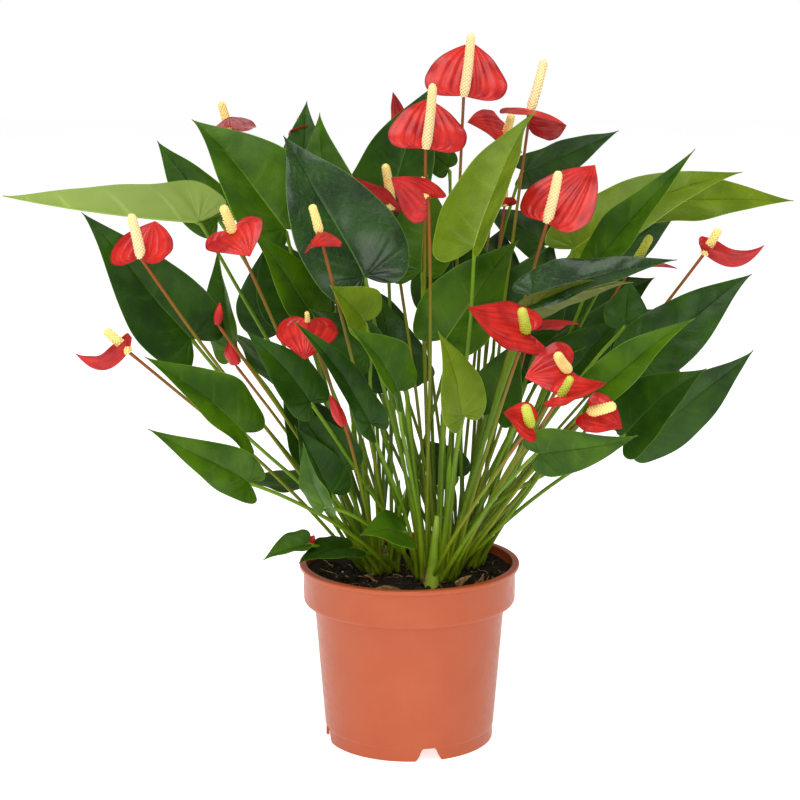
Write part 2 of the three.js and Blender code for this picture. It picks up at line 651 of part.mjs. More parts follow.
/** Ease the whole plant apart until nothing crosses. */
function ease(shoots) {
  for (const item of shoots) {
    bend(item);
    item.samples = sheetSamples(item.sheet);
    if (item.spadix) {
      for (let i = 1; i <= 5; i += 1) {
        item.samples.push(item.sheet.frame.base.clone().lerp(item.spadix, i / 5));
      }
    }
    const sum = item.samples.reduce((total, point) => total + point.y, 0);
    item.depth = sum / item.samples.length;
  }
  const grid = new Map();
  for (let round = 0; round < EASING_ROUNDS; round += 1) {
    if (round < EASING_ROUNDS * 0.7) easeSheets(shoots, grid);
    easeStalks(shoots);
    easeStalksOffSheets(shoots);
  }
  easeStalks(shoots);
}

/** One leaf or flower as a single grown piece. */
function grownPiece(item) {
  const isLeaf = item.form === 'leaf';
  const rings = isLeaf ? [0.35, 0.7, 1] : [0.5, 1];
  const thickness = isLeaf ? BLADE_THICKNESS : SPATHE_THICKNESS;
  let shape = solid(sheetGeometry(item.sheet, thickness, rings));
  shape = shape.add(solid(stalkGeometry(item.curve, item.diameter)));
  if (item.spadix) shape = shape.add(solid(spadixGeometry(item.sheet.frame.base, item.spadix)));
  return piece(item.name, surface(shape), item.finish);
}

const group = new THREE.Group();
group.name = 'potted_anthurium';
group.add(pot());
group.add(soil());
for (const [key, place] of Object.entries(CROWNS)) group.add(crown(`crown_${key}`, place));
const shoots = plannedShoots();
root(shoots);
ease(shoots);
for (const item of shoots) group.add(grownPiece(item));

export default group;
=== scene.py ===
"""Potted anthurium: dressed model of a compact flamingo flower in its nursery pot."""
from __future__ import annotations

import logging
import math
import random
from dataclasses import dataclass, field
from enum import Enum

import bmesh
import bpy
from mathutils import Matrix, Vector, noise


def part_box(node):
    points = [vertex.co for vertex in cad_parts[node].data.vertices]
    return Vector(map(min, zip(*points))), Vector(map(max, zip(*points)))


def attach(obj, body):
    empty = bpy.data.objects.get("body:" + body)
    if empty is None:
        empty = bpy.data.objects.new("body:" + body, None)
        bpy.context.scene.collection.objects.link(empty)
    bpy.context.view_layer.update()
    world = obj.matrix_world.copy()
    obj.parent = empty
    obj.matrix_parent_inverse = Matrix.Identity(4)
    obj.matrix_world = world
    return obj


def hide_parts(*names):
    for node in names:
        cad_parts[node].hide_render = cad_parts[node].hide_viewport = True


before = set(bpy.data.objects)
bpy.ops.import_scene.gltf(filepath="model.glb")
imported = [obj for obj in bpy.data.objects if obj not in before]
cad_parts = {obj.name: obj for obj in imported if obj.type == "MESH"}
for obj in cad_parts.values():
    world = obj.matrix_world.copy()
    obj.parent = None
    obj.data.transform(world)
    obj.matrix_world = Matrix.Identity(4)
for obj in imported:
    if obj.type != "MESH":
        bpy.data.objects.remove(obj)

LOG = logging.getLogger("anthurium")
MM = 0.001

# Lengths in millimetres.
PETIOLE_RADIUS = 1.6
STEM_RADIUS = 1.4
SOIL_TOP = 130.0
PACKED_SHEET = 1.2

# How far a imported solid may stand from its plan, and how the rings of its stalk are told from the
# rest of its vertices: gap between neighbours, least and greatest radius, distance from the sheet.
LARGEST_SHIFT = 90
RING_GAP = 2.3
RING_LEAST = 1.25
RING_MOST = 1.75
BELOW_SHEET = 6

# Bumps of a spadix: rows round it, and turn of their wave for each millimetre.
BUMP_ROWS = 7
BUMP_TURN = 2.33

# Shape of the peat: rise in the middle, rise at the wall, and the share of the radius where that starts.
SOIL_HEAP = 2.2
SOIL_BANK = 3.8
BANK_START = 0.78
BANK_WIDTH = 0.22

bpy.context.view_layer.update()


class Form(Enum):
    """Outlines a grown sheet can have."""

    LEAF = "leaf"
    HEART = "heart"
    FAN = "fan"


class Tone(Enum):
    """Finishes a leaf can have, the pale and dark ones partly painted light and painted shade; the value is
    the record's slot.
    """

    MID = "leaf"
    # Dark green: partly the leaf's own older colour, partly painted shade for leaves deep inside the plant.
    DARK = "leaf_dark"
    # Yellow-green: partly the leaf's own young colour, partly painted light for light shining through the
    # blade.
    PALE = "leaf_pale"


# Columns of a sheet from the midrib to the margin, as shares of the half width.
LEAF_COLUMNS = (0.0, 0.012, 0.035, 0.08, 0.15, 0.24, 0.34, 0.45, 0.56, 0.67, 0.78, 0.88, 0.95, 0.985, 1.0)
SPATHE_COLUMNS = (0.0, 0.012, 0.03, *(0.06 + 0.045 * k for k in range(20)), 0.955, 0.985, 1.0)

# Half outlines from the notch beside the stalk round the lobe to the tip:
# share of the midrib, then share of the half width.
OUTLINES: dict[Form, list[tuple[float, float]]] = {
    Form.LEAF: [
        (0.0, 0.012), (-0.05, 0.12), (-0.1, 0.3), (-0.125, 0.52), (-0.085, 0.76), (0.02, 0.94),
        (0.15, 1.0), (0.3, 0.965), (0.46, 0.8), (0.64, 0.54), (0.8, 0.27), (0.9, 0.115), (0.96, 0.035),
        (1.0, 0.0),
    ],
    Form.HEART: [
        (0.0, 0.015), (-0.1, 0.14), (-0.19, 0.32), (-0.24, 0.56), (-0.19, 0.82), (-0.05, 0.99),
        (0.12, 1.03), (0.3, 0.96), (0.46, 0.82), (0.62, 0.63), (0.76, 0.42), (0.88, 0.22),
        (0.955, 0.09), (1.0, 0.0),
    ],
    Form.FAN: [
        (0.0, 0.015), (-0.03, 0.14), (-0.05, 0.34), (-0.06, 0.6), (-0.01, 0.85), (0.09, 0.99),
        (0.23, 1.02), (0.38, 0.93), (0.52, 0.78), (0.67, 0.59), (0.8, 0.38), (0.9, 0.19), (0.96, 0.08),
        (1.0, 0.0),
    ],
}


@dataclass(frozen=True)
class LeafPlan:
    """Where one leaf stands, in millimetres, and how its blade is shaped.

    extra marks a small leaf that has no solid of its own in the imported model.
    """

    name: str
    crown: str
    tone: Tone
    base: tuple[float, float, float]
    tip: tuple[float, float, float]
    width: float
    facing: tuple[float, float, float]
    fold: float
    arch: float
    extra: bool = False


@dataclass(frozen=True)
class FlowerPlan:
    """Where one flower stands, in millimetres, and how its spathe and spadix are shaped."""

    name: str
    crown: str
    form: Form
    base: tuple[float, float, float]
    spadix: tuple[float, float, float]
    tip: tuple[float, float, float]
    width: float
    fold: float
    arch: float
    extra: bool = False


CROWNS: dict[str, tuple[float, float]] = {"a": (-22, 4), "b": (21, -20), "c": (42, 20)}

LEAVES: list[LeafPlan] = [
    LeafPlan("leaf_01", "a", Tone.PALE, (-160, 20, 400), (-304, 0, 422), 84, (0, 0.25, 1), 42, -0.02),
    LeafPlan(
        "leaf_02", "a", Tone.DARK, (-160, -60, 327), (-233, -90, 423), 64, (0.24, -0.95, 0.21), 18, 0.05,
    ),
    LeafPlan("leaf_03", "a", Tone.MID, (-93, -10, 399), (-164, 20, 478), 96, (0.53, -0.71, 0.46), 27, 0.04),
    LeafPlan("leaf_04", "a", Tone.MID, (-150, 70, 396), (-197, 80, 456), 46, (-0.4, -0.8, 0.2), 20, 0.04),
    LeafPlan("leaf_05", "c", Tone.DARK, (-92, 160, 402), (-85, 195, 479), 44, (0.1, -0.95, 0.2), 10, 0.04),
    LeafPlan("leaf_06", "c", Tone.MID, (-60, 95, 376), (-72, 130, 474), 58, (-0.2, -0.9, 0.2), 15, 0.04),
    LeafPlan("leaf_07", "b", Tone.DARK, (-33, -52, 369), (-94, 0, 467), 85, (0.32, -0.93, 0.18), 22, 0.06),
    LeafPlan("leaf_08", "a", Tone.DARK, (-93, 50, 318), (-108, 60, 386), 78, (-0.1, -0.95, 0.1), 8, 0.04),
    LeafPlan("leaf_09", "a", Tone.MID, (-72, -35, 338), (-116, -45, 401), 42, (0.53, -0.75, 0.39), 20, 0.04),
    LeafPlan(
        "leaf_10", "a", Tone.MID, (-128, -70, 316), (-141, -60, 390), 50, (-0.78, -0.61, -0.14), 28, 0.03,
    ),
    LeafPlan(
        "leaf_11", "b", Tone.DARK, (-71, -100, 286), (-116, -115, 341), 37, (0.32, -0.9, 0.29), 15, 0.05,
    ),
    LeafPlan(
        "leaf_12", "a", Tone.MID, (-117, -125, 269), (-183, -150, 328), 53, (0.46, -0.64, 0.61), 28, 0.05,
    ),
    LeafPlan("leaf_13", "a", Tone.MID, (-112, -155, 240), (-176, -200, 288), 35, (0.2, -0.9, 0.38), 18, 0.06),
    LeafPlan(
        "leaf_14", "b", Tone.MID, (-60, -125, 215), (-74, -150, 267), 24, (-0.48, -0.86, -0.17), 20, 0.05,
    ),
    LeafPlan("leaf_15", "a", Tone.DARK, (-44, -38, 160), (-82, -68, 157), 38, (0, -0.35, 0.95), 12, 0.08),
    LeafPlan("leaf_16", "b", Tone.MID, (-4, -66, 180), (-36, -96, 186), 36, (0.1, -0.7, 0.7), 12, 0.1),
    LeafPlan("leaf_17", "b", Tone.PALE, (46, -82, 395), (93, -5, 486), 79, (-0.73, -0.59, 0.33), 28, 0.05),
    LeafPlan("leaf_18", "b", Tone.MID, (27, -46, 322), (81, -20, 392), 70, (-0.49, -0.79, 0.36), 18, 0.05),
    LeafPlan("leaf_19", "c", Tone.DARK, (92, 110, 430), (169, 150, 458), 40, (0.18, -0.88, -0.43), 15, 0.04),
    LeafPlan("leaf_20", "c", Tone.PALE, (127, 40, 377), (257, 60, 434), 62, (-0.3, -0.69, 0.66), 20, 0.08),
    LeafPlan("leaf_21", "c", Tone.PALE, (188, 80, 404), (304, 100, 407), 47, (-0.03, -0.72, 0.7), 18, 0.04),
    LeafPlan("leaf_22", "c", Tone.MID, (142, 10, 371), (212, 0, 457), 35, (-0.48, -0.78, 0.41), 26, 0.03),
    LeafPlan("leaf_23", "b", Tone.DARK, (88, -106, 364), (190, -100, 389), 41, (-0.2, -0.61, 0.77), 24, 0.05),
    LeafPlan("leaf_24", "c", Tone.DARK, (168, -60, 309), (250, -50, 371), 52, (-0.28, -0.89, 0.36), 14, 0.05),
    LeafPlan("leaf_25", "b", Tone.MID, (127, -145, 299), (195, -160, 357), 36, (-0.37, -0.8, 0.48), 28, 0.04),
    LeafPlan("leaf_26", "c", Tone.DARK, (168, -75, 255), (251, -60, 316), 57, (0.25, -0.91, -0.33), 12, 0.05),
    LeafPlan(
        "leaf_27", "b", Tone.DARK, (153, -130, 270), (205, -150, 320), 56, (-0.45, -0.7, 0.56), 18, 0.06,
    ),
    LeafPlan("leaf_28", "b", Tone.MID, (90, -168, 263), (154, -205, 284), 36, (0.02, -1.0, -0.09), 12, 0.06),
    LeafPlan("leaf_29", "b", Tone.DARK, (-28, -115, 273), (-81, -145, 353), 31, (0.5, -0.79, 0.37), 28, 0.06),
    LeafPlan("leaf_30", "b", Tone.MID, (-8, -150, 304), (-41, -175, 353), 50, (0.62, -0.63, 0.47), 28, 0.06),
    LeafPlan("leaf_32", "a", Tone.DARK, (-20, 120, 385), (23, 165, 496), 98, (-0.66, -0.72, 0.24), 15, 0.06),
    LeafPlan("leaf_33", "c", Tone.DARK, (105, 78, 295), (196, 104, 345), 84, (-0.1, -0.9, 0.4), 10, 0.05),
    LeafPlan("leaf_34", "c", Tone.MID, (70, 142, 300), (110, 216, 350), 82, (0.3, 0.7, 0.6), 12, 0.07),
    LeafPlan("leaf_35", "a", Tone.DARK, (-60, 130, 280), (-120, 204, 312), 84, (-0.3, 0.6, 0.7), 12, 0.08),
]

FLOWERS: list[FlowerPlan] = [
    FlowerPlan(
        "flower_01", "a", Form.FAN, (-199, -110, 324), (-215, -113, 340), (-235, -118, 324), 34, 66, -0.34,
    ),
    FlowerPlan(
        "flower_02", "a", Form.HEART, (-189, -88, 387), (-195, -93, 418), (-181, -64, 409), 50, 10, 0.06,
    ),
    FlowerPlan(
        "flower_03", "a", Form.HEART, (-127, -75, 405), (-132, -92, 425), (-113, -96, 390), 44, 6, 0.06,
    ),
    FlowerPlan(
        "flower_04", "a", Form.HEART, (-63, -120, 411), (-68, -122, 430), (-66, -150, 404), 34, -40, 0.06,
    ),
    FlowerPlan(
        "flower_05", "c", Form.HEART, (-148, 165, 458), (-154, 165, 480), (-144, 132, 470), 42, -8, 0.05,
    ),
    FlowerPlan("flower_07", "b", Form.HEART, (-14, 55, 406), (-19, 52, 441), (-58, 30, 437), 30, 30, 0.03),
    FlowerPlan("flower_08", "c", Form.HEART, (-6, 205, 452), (-5, 208, 466), (-14, 190, 486), 18, 12, 0.04),
    FlowerPlan("flower_09", "b", Form.FAN, (12, 0, 458), (17, -6, 506), (14, 28, 492), 58, 6, 0.1),
    FlowerPlan("flower_10", "c", Form.FAN, (41, 40, 494), (46, 32, 541), (48, 72, 532), 62, 6, 0.08),
    FlowerPlan("flower_11", "b", Form.HEART, (13, -90, 432), (8, -78, 444), (-13, -98, 446), 40, -24, 0.1),
    FlowerPlan("flower_12", "c", Form.HEART, (93, 66, 481), (104, 80, 519), (119, 40, 471), 60, -20, 0.06),
    FlowerPlan("flower_13", "c", Form.HEART, (76, 112, 458), (80, 98, 475), (45, 84, 470), 46, 8, 0.05),
    FlowerPlan("flower_14", "c", Form.FAN, (98, -80, 413), (105, -90, 450), (134, -50, 450), 56, 8, 0.08),
    FlowerPlan("flower_15", "c", Form.FAN, (217, -30, 383), (227, -34, 402), (260, -36, 390), 36, 62, -0.3),
    FlowerPlan("flower_17", "b", Form.HEART, (81, -122, 340), (77, -140, 359), (40, -144, 361), 44, 14, -0.1),
    FlowerPlan("flower_18", "b", Form.HEART, (91, -25, 331), (94, -26, 346), (124, -52, 334), 40, -14, 0.05),
    FlowerPlan(
        "flower_19", "b", Form.HEART, (109, -160, 321), (100, -182, 336), (79, -168, 317), 44, 10, 0.04,
    ),
    FlowerPlan(
        "flower_20", "b", Form.HEART, (102, -184, 307), (108, -194, 322), (131, -200, 319), 32, 20, -0.06,
    ),
    FlowerPlan("flower_21", "b", Form.HEART, (81, -196, 290), (77, -212, 306), (63, -204, 300), 30, 14, 0.02),
    FlowerPlan(
        "flower_22", "b", Form.HEART, (122, -180, 296), (137, -196, 304), (143, -186, 286), 36, 12, 0.04,
    ),
    FlowerPlan(
        "flower_23", "a", Form.HEART, (-72, -112, 346), (-72, -120, 354), (-73, -140, 324), 44, -14, 0.06,
    ),
]


# ---------------------------------------------------------------------------
# Finishes
# ---------------------------------------------------------------------------


class Bench:
    """Lays out the nodes of one procedural finish."""

    def __init__(self, name: str) -> None:
        """Start an empty finish with its principled shader.

        Args:
            name: the finish's name.
        """
        self.material = bpy.data.materials.new(name)
        self.material.use_nodes = True
        self.tree = self.material.node_tree
        self.shader = self.tree.nodes["Principled BSDF"]

    def node(self, kind: str, **settings: object) -> bpy.types.Node:
        """Add one shader node.

        Args:
            kind: node type without its ShaderNode prefix.
            settings: properties set on the node.

        Returns:
            The new node.
        """
        made = self.tree.nodes.new("ShaderNode" + kind)
        for key, value in settings.items():
            setattr(made, key, value)
        return made

    def feed(self, socket: bpy.types.NodeSocket, value: object) -> None:
        """Link a socket or set a constant on an input.

        Args:
            socket: the input that is fed.
            value: an output socket, a number or a colour.
        """
        if isinstance(value, bpy.types.NodeSocket):
            self.tree.links.new(value, socket)
        elif isinstance(value, tuple) and len(value) == 3 and socket.type == "RGBA":
            socket.default_value = (*value, 1.0)
        else:
            socket.default_value = value

    def place(self) -> bpy.types.NodeSocket:
        """Position on the object, in metres.

        Returns:
            The position's socket.
        """
        return self.node("TexCoord").outputs["Object"]

    def grown(self, name: str) -> bpy.types.NodeSocket:
        """A number stored on the mesh while it was built.

        Args:
            name: the number's name: along, across or rib.

        Returns:
            The number's socket.
        """
        return self.node("Attribute", attribute_name=name).outputs["Fac"]

    def sums(self, operation: str, a: object, b: object = 0.0, c: object = 0.0) -> bpy.types.NodeSocket:
        """Arithmetic on up to three values.

        Args:
            operation: the math node's operation.
            a: first value.
            b: second value.
            c: third value.

        Returns:
            The result's socket.
        """
        made = self.node("Math", operation=operation)
        for socket, value in zip(made.inputs, (a, b, c)):
            self.feed(socket, value)
        return made.outputs[0]

    def band(
        self, value: object, low: float, high: float, start: float = 0.0, stop: float = 1.0,
    ) -> bpy.types.NodeSocket:
        """Map a value smoothly from one range to another.

        Args:
            value: the input value.
            low: where the ramp begins.
            high: where the ramp ends.
            start: result at low.
            stop: result at high.

        Returns:
            The mapped value's socket.
        """
        made = self.node("MapRange", interpolation_type="SMOOTHSTEP")
        for socket, number in zip(made.inputs, (value, low, high, start, stop)):
            self.feed(socket, number)
        return made.outputs[0]

    def cloud(self, scale: float, detail: float = 4.0, rough: float = 0.55) -> bpy.types.NodeSocket:
        """Soft mottling in object space.

        Args:
            scale: cells per metre.
            detail: octaves of detail.
            rough: how strong the fine octaves are.

        Returns:
            The noise value's socket.
        """
        made = self.node("TexNoise")
        self.feed(made.inputs["Vector"], self.place())
        self.feed(made.inputs["Scale"], scale)
        self.feed(made.inputs["Detail"], detail)
        self.feed(made.inputs["Roughness"], rough)
        return made.outputs[0]

    def cells(self, scale: float, feature: str = "F1") -> bpy.types.NodeSocket:
        """Distance pattern of small cells in object space.

        Args:
            scale: cells per metre.
            feature: which distance is measured.

        Returns:
            The distance's socket.
        """
        made = self.node("TexVoronoi", feature=feature)
        self.feed(made.inputs["Vector"], self.place())
        self.feed(made.inputs["Scale"], scale)
        return made.outputs["Distance"]

    def blend(self, share: object, a: object, b: object) -> bpy.types.NodeSocket:
        """Mix two colours.

        Args:
            share: how much of b shows.
            a: first colour.
            b: second colour.

        Returns:
            The mixed colour's socket.
        """
        made = self.node("Mix", data_type="RGBA")
        self.feed(made.inputs[0], share)
        self.feed(made.inputs[6], a)
        self.feed(made.inputs[7], b)
        return made.outputs[2]

    def relief(self, height: object, strength: float, depth: float) -> None:
        """Put a bump on the shader.

        Args:
            height: the height's socket.
            strength: how strongly it shades.
            depth: its height in metres.
        """
        made = self.node("Bump")
        self.feed(made.inputs["Strength"], strength)
        self.feed(made.inputs["Distance"], depth)
        self.feed(made.inputs["Height"], height)
        self.tree.links.new(made.outputs[0], self.shader.inputs["Normal"])

    def finish(self, **values: object) -> bpy.types.Material:
        """Set the shader's inputs by name.

        Args:
            values: input names with underscores for spaces.

        Returns:
            The finished material.
        """
        for key, value in values.items():
            self.feed(self.shader.inputs[key.replace("_", " ")], value)
        return self.material


def tint(red: int, green: int, blue: int) -> tuple[float, float, float]:
    """Linear colour from everyday 0 to 255 values.

    Args:
        red: red share.
        green: green share.
        blue: blue share.

    Returns:
        The colour as linear numbers.
    """
    parts = [channel / 255 for channel in (red, green, blue)]
    return tuple(c / 12.92 if c <= 0.04045 else ((c + 0.055) / 1.055) ** 2.4 for c in parts)


@dataclass(frozen=True)
class LeafFinish:
    """Glossy upper face of a leaf with its veins, midrib and pale margin."""

    name: str
    deep: tuple[float, float, float]
    fresh: tuple[float, float, float]
    vein: tuple[float, float, float]
    veins: int = 10
    gloss: float = 0.34
    clear: float = 0.04
    crinkle: float = 0.3

    def make(self) -> bpy.types.Material:
        """Build the finish.

        Returns:
            The leaf's upper material.
        """
        bench = Bench(self.name)
        along, across = bench.grown("along"), bench.grown("across")
        side = bench.sums("ABSOLUTE", across)
        drift = bench.cloud(60, 3)
        phase = bench.sums("MULTIPLY_ADD", along, float(self.veins), bench.sums("MULTIPLY", drift, 0.18))
        ridge = bench.sums("ABSOLUTE", bench.sums("SUBTRACT", bench.sums("FRACT", phase), 0.5))
        vein = bench.sums(
            "MULTIPLY", bench.band(ridge, 0.0, 0.075, 1.0, 0.0), bench.band(side, 0.9, 0.3, 0.0, 1.0),
        )
        rib = bench.band(side, 0.004, 0.03, 1.0, 0.0)
        margin = bench.band(side, 0.975, 0.995)
        mottle = bench.cloud(34, 5)
        body = bench.blend(bench.band(mottle, 0.32, 0.68), self.deep, self.fresh)
        body = bench.blend(bench.sums("MULTIPLY", vein, 0.1), body, self.vein)
        body = bench.blend(bench.sums("MULTIPLY", rib, 0.75), body, self.vein)
        body = bench.blend(bench.sums("MULTIPLY", margin, 0.7), body, self.vein)
        grain = bench.cloud(900, 3, 0.6)
        net = bench.cells(420, "DISTANCE_TO_EDGE")
        height = bench.sums("ADD", bench.sums("MULTIPLY", grain, 0.35), bench.band(net, 0.0, 0.16, 0.0, 0.4))
        height = bench.sums("SUBTRACT", height, bench.sums("MULTIPLY", vein, 0.35))
        puckers = bench.cloud(230, 3, 0.5)
        height = bench.sums("ADD", height, bench.sums("MULTIPLY", puckers, 2.5 * self.crinkle))
        bench.relief(height, 0.35, 0.0005)
        rough = bench.band(bench.cloud(120, 4), 0.3, 0.7, self.gloss - 0.06, self.gloss + 0.12)
        return bench.finish(
            Base_Color=body, Roughness=rough, Specular_IOR_Level=0.13, Coat_Weight=self.clear,
            Coat_Roughness=0.2,
        )


@dataclass(frozen=True)
class UnderleafFinish:
    """Duller, paler underside of a leaf with raised veins."""

    name: str
    body: tuple[float, float, float]
    vein: tuple[float, float, float]
    veins: int = 10

    def make(self) -> bpy.types.Material:
        """Build the finish.

        Returns:
            The leaf's lower material.
        """
        bench = Bench(self.name)
        along, across = bench.grown("along"), bench.grown("across")
        side = bench.sums("ABSOLUTE", across)
        phase = bench.sums(
            "MULTIPLY_ADD", along, float(self.veins), bench.sums("MULTIPLY", bench.cloud(60, 3), 0.18),
        )
        ridge = bench.sums("ABSOLUTE", bench.sums("SUBTRACT", bench.sums("FRACT", phase), 0.5))
        vein = bench.sums(
            "MULTIPLY", bench.band(ridge, 0.0, 0.09, 1.0, 0.0), bench.band(side, 0.95, 0.4, 0.0, 1.0),
        )
        rib = bench.band(side, 0.01, 0.05, 1.0, 0.0)
        shade = bench.blend(bench.cloud(40, 4), self.body, tuple(c * 0.72 for c in self.body))
        shade = bench.blend(bench.sums("MULTIPLY", bench.sums("MAXIMUM", vein, rib), 0.55), shade, self.vein)
        bench.relief(bench.sums("ADD", bench.sums("MULTIPLY", bench.cloud(700, 3), 0.3), vein), 0.3, 0.0005)
        return bench.finish(Base_Color=shade, Roughness=0.52, Specular_IOR_Level=0.4)


@dataclass(frozen=True)
class StalkFinish:
    """Waxy stalk whose colour turns from foot to top."""

    name: str
    foot: tuple[float, float, float]
    middle: tuple[float, float, float]
    top: tuple[float, float, float]

    def make(self) -> bpy.types.Material:
        """Build the finish.

        Returns:
            The stalk's material.
        """
        bench = Bench(self.name)
        along = bench.grown("along")
        lower = bench.blend(bench.band(along, 0.05, 0.4), self.foot, self.middle)
        colour = bench.blend(bench.band(along, 0.6, 0.97), lower, self.top)
        streak = bench.cloud(160, 4)
        colour = bench.blend(
            bench.band(streak, 0.45, 0.75, 0.0, 0.4), colour, tuple(c * 0.6 for c in self.middle),
        )
        bench.relief(bench.cloud(1500, 3), 0.25, 0.0003)
        return bench.finish(Base_Color=colour, Roughness=0.48, Specular_IOR_Level=0.24)


@dataclass(frozen=True)
class SpatheFinish:
    """Lacquered spathe with embossed ribs, painted shade in their grooves and a darker margin."""

    name: str
    body: tuple[float, float, float]
    # Deep red for random mottling and for the painted shade in the rib grooves.
    deep: tuple[float, float, float]
    edge: tuple[float, float, float]
    gloss: float = 0.36

    def make(self) -> bpy.types.Material:
        """Build the finish.

        Returns:
            The spathe's material.
        """
        bench = Bench(self.name)
        side = bench.sums("ABSOLUTE", bench.grown("across"))
        rib = bench.grown("rib")
        colour = bench.blend(bench.band(bench.cloud(70, 4), 0.35, 0.7), self.body, self.deep)
        # Painted shade: the deep red is laid into the rib grooves where they sink.
        colour = bench.blend(bench.band(rib, -0.1, 0.9, 0.0, 0.5), colour, self.deep)
        colour = bench.blend(bench.band(side, 0.9, 1.0, 0.0, 0.75), colour, self.edge)
        grain = bench.cloud(1100, 3, 0.6)
        bench.relief(
            bench.sums("ADD", bench.sums("MULTIPLY", grain, 0.25), bench.cloud(240, 2)), 0.22, 0.0006,
        )
        return bench.finish(
            Base_Color=colour, Roughness=bench.band(grain, 0.2, 0.8, self.gloss - 0.05, self.gloss + 0.1),
            Specular_IOR_Level=0.22, Coat_Weight=0.12, Coat_Roughness=0.12, Subsurface_Weight=0.06,
            Subsurface_Radius=(0.004, 0.001, 0.0008), Subsurface_Scale=1.0,
        )


@dataclass(frozen=True)
class SpadixFinish:
    """Matt finger of tiny flowers, lighter on its bumps."""

    name: str
    bump: tuple[float, float, float]
    pit: tuple[float, float, float]
    top: tuple[float, float, float]

    def make(self) -> bpy.types.Material:
        """Build the finish.

        Returns:
            The spadix's material.
        """
        bench = Bench(self.name)
        colour = bench.blend(bench.band(bench.grown("rib"), -0.5, 0.35), self.pit, self.bump)
        colour = bench.blend(bench.band(bench.grown("along"), 0.2, 0.95, 0.0, 0.6), colour, self.top)
        bench.relief(bench.cells(900), 0.4, 0.0003)
        return bench.finish(Base_Color=colour, Roughness=0.62, Specular_IOR_Level=0.3)


@dataclass(frozen=True)
class DryFinish:
    """Papery dried bract or sheath."""

    name: str
    light: tuple[float, float, float]
    dark: tuple[float, float, float]

    def make(self) -> bpy.types.Material:
        """Build the finish.

        Returns:
            The dry material.
        """
        bench = Bench(self.name)
        streak = bench.sums("ADD", bench.cloud(420, 5), bench.sums("MULTIPLY", bench.grown("across"), 0.12))
        colour = bench.blend(bench.band(streak, 0.3, 0.75), self.dark, self.light)
        bench.relief(bench.cloud(800, 5, 0.7), 0.6, 0.0006)
        return bench.finish(Base_Color=colour, Roughness=0.8, Specular_IOR_Level=0.25)


@dataclass(frozen=True)
class SoilFinish:
    """Moist dark peat with lighter crumbs."""

    name: str
    dark: tuple[float, float, float]
    brown: tuple[float, float, float]
    speck: tuple[float, float, float]

    def make(self) -> bpy.types.Material:
        """Build the finish.

        Returns:
            The soil's material.
        """
        bench = Bench(self.name)
        crumbs = bench.cells(330)
        colour = bench.blend(bench.band(bench.cloud(240, 8, 0.7), 0.38, 0.66), self.dark, self.brown)
        colour = bench.blend(bench.band(bench.cloud(700, 4, 0.6), 0.64, 0.7), colour, self.speck)
        bench.relief(bench.sums("ADD", crumbs, bench.cloud(600, 8, 0.75)), 0.9, 0.003)
        return bench.finish(Base_Color=colour, Roughness=0.93, Specular_IOR_Level=0.2)


@dataclass(frozen=True)
class PotFinish:
    """Satin moulded plastic with faint flow marks, worn mottling and dark dust specks."""

    name: str
    body: tuple[float, float, float]
    worn: tuple[float, float, float]

    def make(self) -> bpy.types.Material:
        """Build the finish.

        Returns:
            The pot's material.
        """
        bench = Bench(self.name)
        mottle = bench.cloud(28, 5, 0.6)
        colour = bench.blend(bench.band(mottle, 0.3, 0.72, 0.0, 0.4), self.body, self.worn)
        dust = bench.band(bench.cloud(620, 6, 0.7), 0.55, 0.75, 0.0, 0.16)
        colour = bench.blend(dust, colour, tuple(c * 0.7 for c in self.body))
        bench.relief(bench.sums("ADD", bench.cloud(1600, 3), bench.cloud(90, 3)), 0.12, 0.0004)
        rough = bench.band(bench.cloud(200, 5), 0.3, 0.7, 0.3, 0.42)
        return bench.finish(Base_Color=colour, Roughness=rough, Specular_IOR_Level=0.4)


